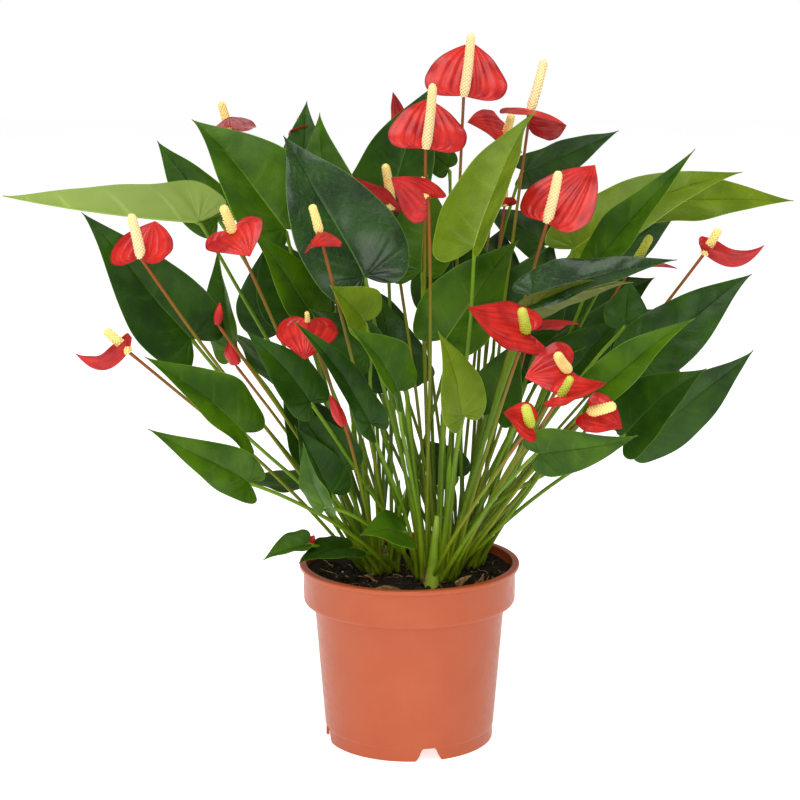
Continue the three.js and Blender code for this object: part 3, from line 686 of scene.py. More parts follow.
class Palette:
    """Every finish on the plant, made once."""

    def __init__(self) -> None:
        """Mix all the finishes."""
        # The dark and pale leaf finishes are shaded and lit copies of the mid one: partly the leaves' own
        # colour, partly painted shade and painted light.
        self.upper = {
            Tone.MID: LeafFinish(
                "leaf_mid", tint(38, 72, 0), tint(64, 98, 1), tint(114, 146, 36), gloss=0.36,
            ).make(),
            Tone.DARK: LeafFinish(
                "leaf_deep", tint(22, 50, 2), tint(40, 74, 4), tint(80, 114, 24), gloss=0.36, clear=0.05,
                crinkle=0.6,
            ).make(),
            Tone.PALE: LeafFinish(
                "leaf_bright", tint(82, 106, 6), tint(104, 126, 12), tint(150, 172, 64), gloss=0.38,
            ).make(),
        }
        # Undersides of the dark and pale tones carry the same painted shade and painted light.
        self.under = {
            Tone.MID: UnderleafFinish("underleaf_mid", tint(98, 128, 42), tint(130, 158, 68)).make(),
            Tone.DARK: UnderleafFinish("underleaf_deep", tint(92, 100, 20), tint(124, 136, 48)).make(),
            Tone.PALE: UnderleafFinish("underleaf_pale", tint(138, 164, 62), tint(154, 180, 82)).make(),
        }
        # Darker green of the glossy dark leaves, partly painted shade like the dark tone.
        self.glossy = LeafFinish(
            "leaf_glossy", tint(16, 42, 6), tint(32, 64, 12), tint(
                84, 116, 48,
            ), gloss=0.28, clear=0.35, crinkle=5.0,
        ).make()
        self.petiole = StalkFinish("petiole", tint(116, 136, 16), tint(86, 116, 2), tint(102, 134, 12)).make()
        self.stem = StalkFinish(
            "flower_stem", tint(100, 124, 10), tint(106, 114, 6), tint(138, 68, 26),
        ).make()
        self.spathe = SpatheFinish(
            "spathe_red", tint(198, 38, 29), tint(154, 12, 12), tint(116, 14, 26),
        ).make()
        self.spathe_back = SpatheFinish(
            "spathe_back", tint(196, 38, 34), tint(152, 18, 20), tint(116, 16, 28), gloss=0.4,
        ).make()
        self.spadices = {
            "cream": SpadixFinish(
                "spadix_cream", tint(250, 232, 180), tint(226, 184, 124), tint(248, 220, 154),
            ).make(),
            "yellow": SpadixFinish(
                "spadix_yellow", tint(252, 230, 150), tint(232, 194, 104), tint(248, 218, 130),
            ).make(),
            "green": SpadixFinish(
                "spadix_green", tint(190, 200, 60), tint(140, 158, 30), tint(206, 206, 90),
            ).make(),
        }
        self.sheath = StalkFinish(
            "green_sheath", tint(146, 166, 50), tint(116, 146, 22), tint(146, 172, 60),
        ).make()
        self.bract = DryFinish("dry_bract", tint(170, 138, 90), tint(96, 66, 36)).make()
        self.soil = SoilFinish("peat", tint(26, 19, 12), tint(60, 44, 28), tint(132, 108, 72)).make()
        self.fibre = DryFinish("root_fibre", tint(186, 160, 116), tint(110, 86, 54)).make()
        self.grit = DryFinish("perlite", tint(214, 206, 190), tint(150, 140, 122)).make()
        self.pot = PotFinish("terracotta_plastic", tint(170, 75, 34), tint(178, 88, 48)).make()


# ---------------------------------------------------------------------------
# Mesh making
# ---------------------------------------------------------------------------


@dataclass
class Body:
    """Vertices, faces and stored numbers of one piece while it is built, in millimetres."""

    points: list[Vector] = field(default_factory=list)
    faces: list[tuple[int, ...]] = field(default_factory=list)
    finishes: list[int] = field(default_factory=list)
    along: list[float] = field(default_factory=list)
    across: list[float] = field(default_factory=list)
    rib: list[float] = field(default_factory=list)

    def add(self, point: Vector, along: float = 0.0, across: float = 0.0, rib: float = 0.0) -> int:
        """Add one vertex.

        Args:
            point: its place in millimetres.
            along: share of the way along the piece.
            across: signed share of the way from the middle to the margin.
            rib: height of the surface pattern there.

        Returns:
            The vertex's number.
        """
        self.points.append(point)
        self.along.append(along)
        self.across.append(across)
        self.rib.append(rib)
        return len(self.points) - 1

    def face(self, corners: tuple[int, ...], finish: int = 0) -> None:
        """Add one face, leaving out repeated corners.

        Args:
            corners: vertex numbers in order.
            finish: which of the piece's finishes it wears.
        """
        kept = [c for i, c in enumerate(corners) if c != corners[i - 1]]
        if len(set(kept)) >= 3:
            self.faces.append(tuple(kept))
            self.finishes.append(finish)

    def make(self, name: str, finishes: list[bpy.types.Material]) -> bpy.types.Object:
        """Turn the piece into a smooth-shaded object in metres.

        Args:
            name: the object's name.
            finishes: its materials in order.

        Returns:
            The new object, linked to the scene.
        """
        mesh = bpy.data.meshes.new(name)
        mesh.from_pydata([p * MM for p in self.points], [], self.faces)
        for label, values in (("along", self.along), ("across", self.across), ("rib", self.rib)):
            mesh.attributes.new(label, "FLOAT", "POINT").data.foreach_set("value", values)
        for finish in finishes:
            mesh.materials.append(finish)
        mesh.polygons.foreach_set("material_index", self.finishes)
        mesh.polygons.foreach_set("use_smooth", [True] * len(mesh.polygons))
        mesh.validate()
        mesh.update()
        piece = bpy.data.objects.new(name, mesh)
        bpy.context.scene.collection.objects.link(piece)
        return piece


def spline(points: list[Vector], steps: int) -> list[Vector]:
    """Even points on a smooth curve through the given ones.

    Args:
        points: places the curve passes through.
        steps: how many intervals the result has.

    Returns:
        steps + 1 points.
    """
    fine: list[Vector] = []
    count = len(points)
    for i in range(count - 1):
        a, b = points[max(i - 1, 0)], points[i]
        c, d = points[i + 1], points[min(i + 2, count - 1)]
        for k in range(12):
            t = k / 12
            fine.append(0.5 * ((2 * b) + (c - a) * t + (2 * a - 5 * b + 4 * c - d) * t * t
                               + (3 * b - a - 3 * c + d) * t ** 3))
    fine.append(points[-1])
    lengths = [0.0]
    for i in range(1, len(fine)):
        lengths.append(lengths[-1] + (fine[i] - fine[i - 1]).length)
    result, k = [], 0
    for i in range(steps + 1):
        want = lengths[-1] * i / steps
        while k < len(fine) - 2 and lengths[k + 1] < want:
            k += 1
        span = max(lengths[k + 1] - lengths[k], 1e-9)
        result.append(fine[k].lerp(fine[k + 1], min(1.0, (want - lengths[k]) / span)))
    return result


def tube(
    body: Body, line: list[Vector], radii: list[float], sides: int, finish: int, bumps: float = 0.0,
) -> None:
    """Sweep a round section along a line and close both ends.

    Args:
        body: the piece that gets the tube.
        line: centre points.
        radii: radius at each point.
        sides: corners of the section.
        finish: which finish the tube wears.
        bumps: height of spiralled bumps, or none.
    """
    aim = (line[1] - line[0]).normalized()
    side = aim.orthogonal().normalized()
    rings: list[list[int]] = []
    travelled = 0.0
    for i, centre in enumerate(line):
        ahead = line[min(i + 1, len(line) - 1)] - line[max(i - 1, 0)]
        new_aim = ahead.normalized() if ahead.length > 1e-6 else aim
        side = (side - new_aim * side.dot(new_aim)).normalized()
        aim = new_aim
        across = aim.cross(side)
        travelled += (centre - line[i - 1]).length if i else 0.0
        ring = []
        for k in range(sides):
            turn = 2 * math.pi * k / sides
            height = 0.0
            if bumps:
                height = math.cos(BUMP_ROWS * turn) * math.cos(travelled * BUMP_TURN)
            reach = radii[i] + bumps * height * min(1.0, radii[i] / 2)
            point = centre + (side * math.cos(turn) + across * math.sin(turn)) * reach
            ring.append(body.add(point, i / (len(line) - 1), 2 * k / sides - 1, height))
        rings.append(ring)
    for lower, upper in zip(rings, rings[1:]):
        for k in range(sides):
            body.face((lower[k], lower[(k + 1) % sides], upper[(k + 1) % sides], upper[k]), finish)
    body.face(tuple(reversed(rings[0])), finish)
    body.face(tuple(rings[-1]), finish)


@dataclass
class Sheet:
    """One folded, arched blade or spathe with ribs, in millimetres."""

    base: Vector
    tip: Vector
    facing: Vector
    width: float
    fold: float
    arch: float
    form: Form
    seed: int
    thickness: float = 0.55
    ripple: float = 1.0
    ribs: int = 10
    rib_height: float = 0.4

    def __post_init__(self) -> None:
        """Work out the sheet's own directions."""
        self.ahead = self.tip - self.base
        self.length = self.ahead.length
        self.ahead.normalize()
        self.out = (self.facing - self.ahead * self.facing.dot(self.ahead)).normalized()
        self.right = self.out.cross(self.ahead)

    def point(self, s: float, w: float) -> Vector:
        """Place on the sheet's middle surface.

        Args:
            s: distance along the midrib.
            w: signed distance from it.

        Returns:
            The place in millimetres.
        """
        share, side = s / self.length, abs(w)
        half = self.width / 2
        lift = 4 * self.arch * s * (1 - share) * (0.5 if s < 0 else 1)
        curl = 0.12 * side * side / half
        edge = (side / half) ** 2
        sign = 1 if w >= 0 else -1
        slow = math.sin(share * 7.3 + self.seed * 1.7 + sign * 1.1)
        wave = slow + 0.5 * math.sin(share * 15 + self.seed + sign)
        sway = 0.018 * self.length * math.sin(share * 3.0 + self.seed) * share * (1 - share) * 4
        place = self.base + self.ahead * s + self.right * (w * math.cos(self.fold) + sway)
        return place + self.out * (lift + side * math.sin(self.fold) - curl + self.ripple * edge * wave)

    def rows(self, count: int) -> list[tuple[float, float]]:
        """Margin places from the notch to the tip.

        Args:
            count: how many intervals.

        Returns:
            Shares of the length and of the half width.
        """
        control = [Vector((s, w, 0)) for s, w in OUTLINES[self.form]]
        places = []
        for i in range(count + 1):
            t = i / count * (len(control) - 1)
            k = min(int(t), len(control) - 2)
            f = t - k
            a, b = control[max(k - 1, 0)], control[k]
            c, d = control[k + 1], control[min(k + 2, len(control) - 1)]
            p = 0.5 * (
                (2 * b) + (c - a) * f + (2 * a - 5 * b + 4 * c - d) * f * f + (3 * b - a - 3 * c + d) * f ** 3
            )
            places.append((p.x, max(p.y, 0.0)))
        return places

    def build(self, body: Body, top: int, under: int, rows: int = 64) -> None:
        """Add the sheet with its two faces and closed margin.

        Args:
            body: the piece that gets the sheet.
            top: finish of the upper face.
            under: finish of the lower face.
            rows: intervals from the notch to the tip.
        """
        leafy = self.form is Form.LEAF
        shares = LEAF_COLUMNS if leafy else SPATHE_COLUMNS
        half = self.width / 2
        grid: dict[tuple[int, int], tuple[int, int]] = {}
        places: dict[tuple[int, int], tuple[Vector, float, float, float]] = {}
        margin = self.rows(rows)
        for i, (s_edge, w_edge) in enumerate(margin):
            s_mid = max(0.0, s_edge - 0.22 * w_edge)
            for side in (-1, 1):
                for j, v in enumerate(shares):
                    s = (s_mid + (s_edge - s_mid) * v ** 1.25) * self.length
                    w = side * w_edge * v * half
                    tau = i / rows
                    turn = (self.ribs * (tau if leafy else v ** 0.85)) % 1.0 - 0.5
                    wave = 2 * math.exp(-((turn / (0.16 if leafy else 0.2)) ** 2)) - 1
                    fade = min(1.0, 3 * w_edge) * (1.0 if leafy else min(1.0, 4 * (1 - v)))
                    swell = self.rib_height * wave * fade * math.sin(math.pi * min(1.0, v * 1.05)) ** 0.7
                    keel = -0.35 * fade * math.exp(-(v / 0.03) ** 2) if leafy else 0.0
                    place = self.point(s, w) + self.out * (swell + keel)
                    places[(i, side * j)] = (place, tau, side * v, wave)
        normals = {key: self.normal(places, key, rows, len(shares) - 1) for key in places}
        seen: dict[tuple[int, int, int], tuple[int, int]] = {}
        for key, (place, tau, v, wave) in places.items():
            code = (round(place.x * 200), round(place.y * 200), round(place.z * 200))
            if code not in seen:
                edge = 1 - 0.65 * max(0.0, (abs(v) - 0.88) / 0.12)
                keel = 0.8 * math.exp(-(abs(v) / 0.035) ** 2) * (1 - tau * 0.7) if leafy else 0.0
                deep = self.thickness * edge + keel
                upper = body.add(place + normals[key] * self.thickness * 0.5 * edge, tau, v, wave)
                lower = body.add(place + normals[key] * (self.thickness * 0.5 * edge - deep), tau, v, wave)
                seen[code] = (upper, lower)
            grid[key] = seen[code]
        last = len(shares) - 1
        for i in range(rows):
            for j in range(-last, last):
                a, b, c, d = grid[(i, j)], grid[(i, j + 1)], grid[(i + 1, j + 1)], grid[(i + 1, j)]
                body.face((d[0], c[0], b[0], a[0]), top)
                body.face((a[1], b[1], c[1], d[1]), under)
            for j, turn in ((last, False), (-last, True)):
                a, b = grid[(i, j)], grid[(i + 1, j)]
                wall = (a[0], b[0], b[1], a[1])
                body.face(tuple(reversed(wall)) if turn else wall, top)
        for j in range(last):
            for side in (-1, 1):
                a, b = grid[(0, side * j)], grid[(0, side * (j + 1))]
                wall = (a[0], b[0], b[1], a[1])
                body.face(wall if side > 0 else tuple(reversed(wall)), top)

    def normal(self, places: dict, key: tuple[int, int], rows: int, last: int) -> Vector:
        """Outward direction at one place of the sheet.

        Args:
            places: every place by row and column.
            key: the row and column.
            rows: last row.
            last: last column on either side.

        Returns:
            A unit vector on the facing side.
        """
        i, j = key
        up = places[(min(i + 1, rows), j)][0] - places[(max(i - 1, 0), j)][0]
        cross = places[(i, min(j + 1, last))][0] - places[(i, max(j - 1, -last))][0]
        found = cross.cross(up)
        if found.length < 1e-7:
            return self.out
        return -found.normalized()


# ---------------------------------------------------------------------------
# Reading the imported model
# ---------------------------------------------------------------------------


@dataclass
class Settled:
    """How far a shoot was eased from its plan and where its stalk runs, in millimetres."""

    shift: Vector
    line: list[Vector]


class Packed:
    """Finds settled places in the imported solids."""

    @staticmethod
    def read(name: str, base: Vector, tip: Vector, facing: Vector, spadix: Vector | None) -> Settled:
        """Read one shoot's solid.

        Args:
            name: the node's name.
            base: planned place where the sheet joins the stalk.
            tip: planned tip of the sheet.
            facing: direction the sheet faces.
            spadix: planned tip of the spadix, or none.

        Returns:
            The shoot's shift and the centre points of its stalk.
        """
        corners = {tuple(round(c / MM, 3) for c in v.co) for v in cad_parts[name].data.vertices}
        points = [Vector(corner) for corner in sorted(corners)]
        ahead = (tip - base).normalized()
        out = (facing - ahead * facing.dot(ahead)).normalized()
        best, shift = 1e9, Vector((0, 0, 0))
        for point in points:
            guess = point - tip - out * (PACKED_SHEET / 2)
            if abs(guess.x) > 0.05 or abs(guess.y) > LARGEST_SHIFT:
                continue
            partner = min((q - (point - out * PACKED_SHEET)).length for q in points)
            score = partner + abs(guess.x) + 0.002 * guess.length
            if score < best:
                best, shift = score, guess
        shift = Vector((0, shift.y, shift.z))
        return Settled(shift, Packed.rings(points, base + shift, spadix + shift if spadix else None))

    @staticmethod
    def rings(points: list[Vector], base: Vector, spadix: Vector | None) -> list[Vector]:
        """Centres of the stalk's rings from the soil upward.

        Args:
            points: the solid's vertices.
            base: where the stalk ends.
            spadix: tip of the spadix, or none.

        Returns:
            Ring centres in order.
        """
        left = sorted(points, key=lambda p: p.z)
        centres = []
        while left:
            cluster = [left.pop(0)]
            grew = True
            while grew:
                near = [p for p in left if any((p - q).length < RING_GAP for q in cluster)]
                grew = bool(near)
                cluster += near
                left = [p for p in left if p not in near]
            centre = sum(cluster, Vector()) / len(cluster)
            reaches = [(p - centre).length for p in cluster]
            ring = min(reaches) >= RING_LEAST and max(reaches) <= RING_MOST
            if not ring or (centre - base).length < BELOW_SHEET:
                continue
            if spadix is not None and Packed.beside(centre, base, spadix):
                continue
            centres.append(centre)
        root = min(centres, key=lambda p: p.z)
        return sorted(centres, key=lambda p: (p - root).length)

    @staticmethod
    def beside(place: Vector, base: Vector, spadix: Vector) -> bool:
        """Tell whether a place lies along the spadix instead of the stem.

        Args:
            place: the place.
            base: where the stem ends.
            spadix: tip of the spadix.

        Returns:
            True when it lies along the spadix.
        """
        return (place - base).dot(spadix - base) > 0.6 * (spadix - base).length * (place - base).length


# ---------------------------------------------------------------------------
# The plant
# ---------------------------------------------------------------------------


@dataclass
class Shoot:
    """Common parts of a leaf and a flower: the stalk and how it reaches the crown."""

    plan: LeafPlan | FlowerPlan
    palette: Palette
    seed: int
    thick: float = PETIOLE_RADIUS
    soil_top: float = SOIL_TOP

    def start(self) -> None:
        """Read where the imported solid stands, or plan an extra one's stalk."""
        plan = self.plan
        base, tip, facing = Vector(plan.base), Vector(plan.tip), self.faces()
        if plan.extra:
            self.shift = Vector((0, 0, 0))
            self.line = self.planned_line(base)
        else:
            spadix = Vector(plan.spadix) if isinstance(plan, FlowerPlan) else None
            found = Packed.read(plan.name, base, tip, facing, spadix)
            self.shift, self.line = found.shift, found.line
        self.base, self.tip = base + self.shift, tip + self.shift

    def faces(self) -> Vector:
        """Direction the sheet's upper face looks.

        Returns:
            The direction, of any length.
        """
        if isinstance(self.plan, FlowerPlan):
            return Vector(self.plan.spadix) - Vector(self.plan.base)
        return Vector(self.plan.facing)

    def planned_line(self, end: Vector) -> list[Vector]:
        """Centre points of a stalk with no solid of its own.

        Args:
            end: where the stalk ends.

        Returns:
            Points from the soil upward.
        """
        x, y = CROWNS[self.plan.crown]
        turn = math.atan2(end.y - y, end.x - x) + 0.35 * math.sin(self.seed * 2.4)
        root = Vector((x + 8 * math.cos(turn), y + 8 * math.sin(turn), self.soil_top + 2))
        reach = (end - root).length
        first = root.lerp(end, 0.33) + Vector((0, 0, 0.07 * reach))
        last = root.lerp(end, 0.67) + Vector((0, 0, 0.05 * reach))
        points = []
        for i in range(7):
            t = i / 7
            k = 1 - t
            points.append(root * k ** 3 + first * 3 * k * k * t + last * 3 * k * t * t + end * t ** 3)
        return points

    def stalk(self, body: Body, finish: int, ending: list[Vector], knuckle: float) -> None:
        """Add the stalk with its widened foot and its knuckle below the sheet.

        Args:
            body: the piece that gets the stalk.
            finish: which finish it wears.
            ending: last centre points under the sheet.
            knuckle: how much it swells before the sheet.
        """
        line = spline(self.line + ending, 36)
        length = sum((b - a).length for a, b in zip(line, line[1:]))
        radii, travelled = [], 0.0
        for i, point in enumerate(line):
            travelled += (point - line[i - 1]).length if i else 0.0
            left = length - travelled
            foot = 0.3 * math.exp(-travelled / 14)
            swell = knuckle * math.exp(-(((left - 5) / 4) ** 2))
            taper = min(1.0, 0.45 + left / 3)
            slim = 1.0 - 0.18 * travelled / length
            radii.append(self.thick * (slim + foot + swell) * taper)
        tube(body, line, radii, 12, finish)


@dataclass
class Leaf(Shoot):
    """One heart-shaped leaf on its petiole."""

    def build(self) -> bpy.types.Object:
        """Make the leaf.

        Returns:
            The leaf's object.
        """
        self.start()
        plan = self.plan
        body = Body()
        size = (self.tip - self.base).length
        sheet = Sheet(
            self.base, self.tip, self.faces(), plan.width, math.radians(plan.fold), plan.arch, Form.LEAF,
            self.seed, thickness=0.55, ripple=0.018 * size + 0.4, ribs=9, rib_height=-0.0022 * size - 0.1,
        )
        sheet.build(body, 0, 1, 72)
        under = self.base - sheet.out * 1.5 - sheet.ahead * 2.0
        self.stalk(body, 2, [under, self.base - sheet.out * 1.0 + sheet.ahead * 3.0], 0.25)
        upper = self.palette.glossy if plan.name in GLOSSY else self.palette.upper[plan.tone]
        finishes = [upper, self.palette.under[plan.tone], self.palette.petiole]
        return body.make("leaf." + plan.name.split("_")[1], finishes)


@dataclass
class Flower(Shoot):
    """One flower: stem, lacquered spathe and spadix."""

    spadix_tone: str = "yellow"

    def build(self) -> bpy.types.Object:
        """Make the flower.

        Returns:
            The flower's object.
        """
        self.thick = STEM_RADIUS
        self.start()
        plan = self.plan
        body = Body()
        size = (self.tip - self.base).length
        sheet = Sheet(
            self.base, self.tip, self.faces(), plan.width, math.radians(plan.fold), plan.arch, plan.form,
            self.seed, thickness=0.6, ripple=0.02 * size + 0.3, ribs=4, rib_height=-0.01 * size - 0.08,
        )
        sheet.build(body, 0, 1, 56)
        aim = Vector(plan.spadix) - Vector(plan.base)
        length = aim.length
        aim.normalize()
        self.stalk(body, 2, [self.base - aim * 1.5, self.base + aim * 0.5], 0.12)
        self.finger(body, aim, length)
        finishes = [
            self.palette.spathe, self.palette.spathe_back, self.palette.stem,
            self.palette.spadices[self.spadix_tone],
        ]
        return body.make("flower." + plan.name.split("_")[1], finishes)

    def finger(self, body: Body, aim: Vector, length: float) -> None:
        """Add the spadix with its spiralled bumps.

        Args:
            body: the flower's piece.
            aim: the spadix's direction.
            length: its length.
        """
        thick = min(3.8, 0.16 * length)
        bow = aim.orthogonal().normalized() * 0.02 * length
        line, radii = [], []
        rings = max(20, int(length / 0.55))
        for i in range(rings + 1):
            t = i / rings
            line.append(self.base + aim * (t * length - 1.0 * (1 - t)) + bow * math.sin(math.pi * t))
            dome = math.sqrt(max(0.0, 1 - max(0.0, (t - 0.88) / 0.12) ** 2))
            radii.append(max(0.15, thick * min(1.0, 0.7 + 2.5 * t) * (1 - 0.2 * t) * dome))
        tube(body, line, radii, 40, 3, 0.6)


@dataclass
class Bud:
    """A spathe still rolled up, on its stem, or a young leaf in its roll."""

    name: str
    crown: str
    base: tuple[float, float, float]
    tip: tuple[float, float, float]
    width: float
    seed: int
    palette: Palette
    leafy: bool = False

    def build(self) -> bpy.types.Object:
        """Make the bud.

        Returns:
            The bud's object.
        """
        body = Body()
        base, tip = Vector(self.base), Vector(self.tip)
        aim = (tip - base).normalized()
        side = aim.orthogonal().normalized()
        cross = aim.cross(side)
        rings = []
        rows, turns = 34, 28
        for i in range(rows + 1):
            t = i / rows
            radius = self.width / 2 * (math.sin(math.pi * min(1.0, t * 0.86 + 0.14)) ** 0.75) * (1 - 0.25 * t)
            centre = base.lerp(tip, t) + side * 0.06 * self.width * math.sin(3 * t + self.seed)
            ring = []
            for k in range(turns):
                angle = 2 * math.pi * k / turns + 1.3 * t + self.seed
                reach = max(radius, 0.15) * (1 + 0.22 * k / turns + 0.04 * math.cos(5 * angle))
                ring.append(
                    body.add(
                        centre + (side * math.cos(angle) + cross * math.sin(angle)) * reach, t,
                        2 * k / turns - 1, math.cos(5 * angle),
                    )
                )
            rings.append(ring)
        for lower, upper in zip(rings, rings[1:]):
            for k in range(turns):
                body.face((lower[k], lower[(k + 1) % turns], upper[(k + 1) % turns], upper[k]), 0)
        body.face(tuple(reversed(rings[0])), 0)
        body.face(tuple(rings[-1]), 0)
        plan = LeafPlan(
            self.name, self.crown, Tone.MID, self.base, self.tip, self.width, (0, -1, 0), 0, 0, True,
        )
        stem = Shoot(plan, self.palette, self.seed, thick=1.3)
        stem.start()
        stem.stalk(body, 1, [base + aim * 1.0], 0.1)
        skin = self.palette.upper[Tone.PALE] if self.leafy else self.palette.spathe_back
        return body.make(self.name, [skin, self.palette.petiole if self.leafy else self.palette.stem])


@dataclass
class YoungShoots:
    """New leaves still rolled into thin spears between the older stalks."""

    palette: Palette
    count: int = 38
    soil_top: float = SOIL_TOP

    def build(self) -> bpy.types.Object:
        """Make all the spears as one piece.

        Returns:
            The spears' object.
        """
        dice = random.Random(21)
        body = Body()
        centres = list(CROWNS.values())
        steps = 30
        for i in range(self.count):
            x, y = centres[i % len(centres)]
            turn = 2.4 * i + 0.6
            root = Vector((x + 13 * math.cos(turn), y + 13 * math.sin(turn), self.soil_top + 1))
            reach = dice.uniform(60, 165)
            lean = dice.uniform(0.12, 0.4)
            end = root + Vector((math.cos(turn) * lean, math.sin(turn) * lean, 1.0)) * reach
            middle = root.lerp(end, 0.5) + Vector((0, 0, 0.05 * reach))
            line = spline([root, middle, end], steps)
            radii = []
            for k in range(steps + 1):
                left = (steps - k) / steps * reach
                roll = 0.7 * math.exp(-(((left - 16) / 10) ** 2))
                radii.append((1.3 + roll + 0.5 * math.exp(-k / 4)) * min(1.0, 0.12 + left / 14))
            tube(body, line, radii, 10, 0)
        return body.make("young.shoots", [self.palette.petiole])


@dataclass
class Crown:
    """Short stem at the soil, wrapped in green and dried sheaths."""

    node: str
    palette: Palette
    seed: int
    sheaths: int = 9

    def build(self) -> bpy.types.Object:
        """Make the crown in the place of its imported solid.

        Returns:
            The crown's object.
        """
        low, high = (Vector(corner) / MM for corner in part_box(self.node))
        centre = Vector(((low.x + high.x) / 2, (low.y + high.y) / 2, low.z))
        height = high.z - low.z
        dice = random.Random(self.seed)
        body = Body()
        steps = 10
        line = [centre + Vector((0, 0, height * t / steps - 2)) for t in range(steps + 1)]
        radii = [4.8 * (1 - 0.05 * t) * (1 + 0.08 * math.sin(t * 2.2)) for t in range(steps + 1)]
        tube(body, line, radii, 20, 0, 0.3)
        for i in range(self.sheaths):
            turn = i * 2.4 + self.seed
            self.sheath(
                body, centre, turn, dice.uniform(12, height + 2), 1 if i % 3 else 2, dice.uniform(0.0, 0.32),
            )
        return body.make(
            self.node + "_sheathed", [self.palette.petiole, self.palette.sheath, self.palette.bract],
        )

    def sheath(
        self, body: Body, centre: Vector, turn: float, height: float, finish: int, lean: float,
    ) -> None:
        """Add one pointed sheath that hugs the crown.

        Args:
            body: the crown's piece.
            centre: the crown's foot.
            turn: bearing of the sheath's middle.
            height: how far up it reaches.
            finish: which finish it wears.
            lean: how far it leans away at its tip.
        """
        rows, columns = 14, 10
        grid = []
        for i in range(rows + 1):
            t = i / rows
            spread = 1.15 * (1 - t) ** 0.6 + 0.02
            reach = 5.4 + 3.0 * lean * t * t * height / 10
            row = []
            for j in range(columns + 1):
                v = 2 * j / columns - 1
                angle = turn + v * spread
                out = Vector((math.cos(angle), math.sin(angle), 0))
                ripple = 0.3 * math.sin(v * 9 + i * 0.6) * t
                place = centre + out * (reach + 0.5 * abs(v) + ripple) + Vector((0, 0, height * t - 2))
                row.append((body.add(place + out * 0.3, t, v), body.add(place - out * 0.3, t, v)))
            grid.append(row)
        for i in range(rows):
            for j in range(columns):
                a, b, c, d = grid[i][j], grid[i][j + 1], grid[i + 1][j + 1], grid[i + 1][j]
                body.face((a[0], b[0], c[0], d[0]), finish)
                body.face((d[1], c[1], b[1], a[1]), finish)
            for j, wall in ((0, False), (columns, True)):
                a, b = grid[i][j], grid[i + 1][j]
                rim = (a[0], b[0], b[1], a[1])
                body.face(tuple(reversed(rim)) if wall else rim, finish)
        for row, wall in ((grid[0], True), (grid[-1], False)):
            for j in range(columns):
                a, b = row[j], row[j + 1]
                rim = (a[0], b[0], b[1], a[1])
                body.face(tuple(reversed(rim)) if wall else rim, finish)


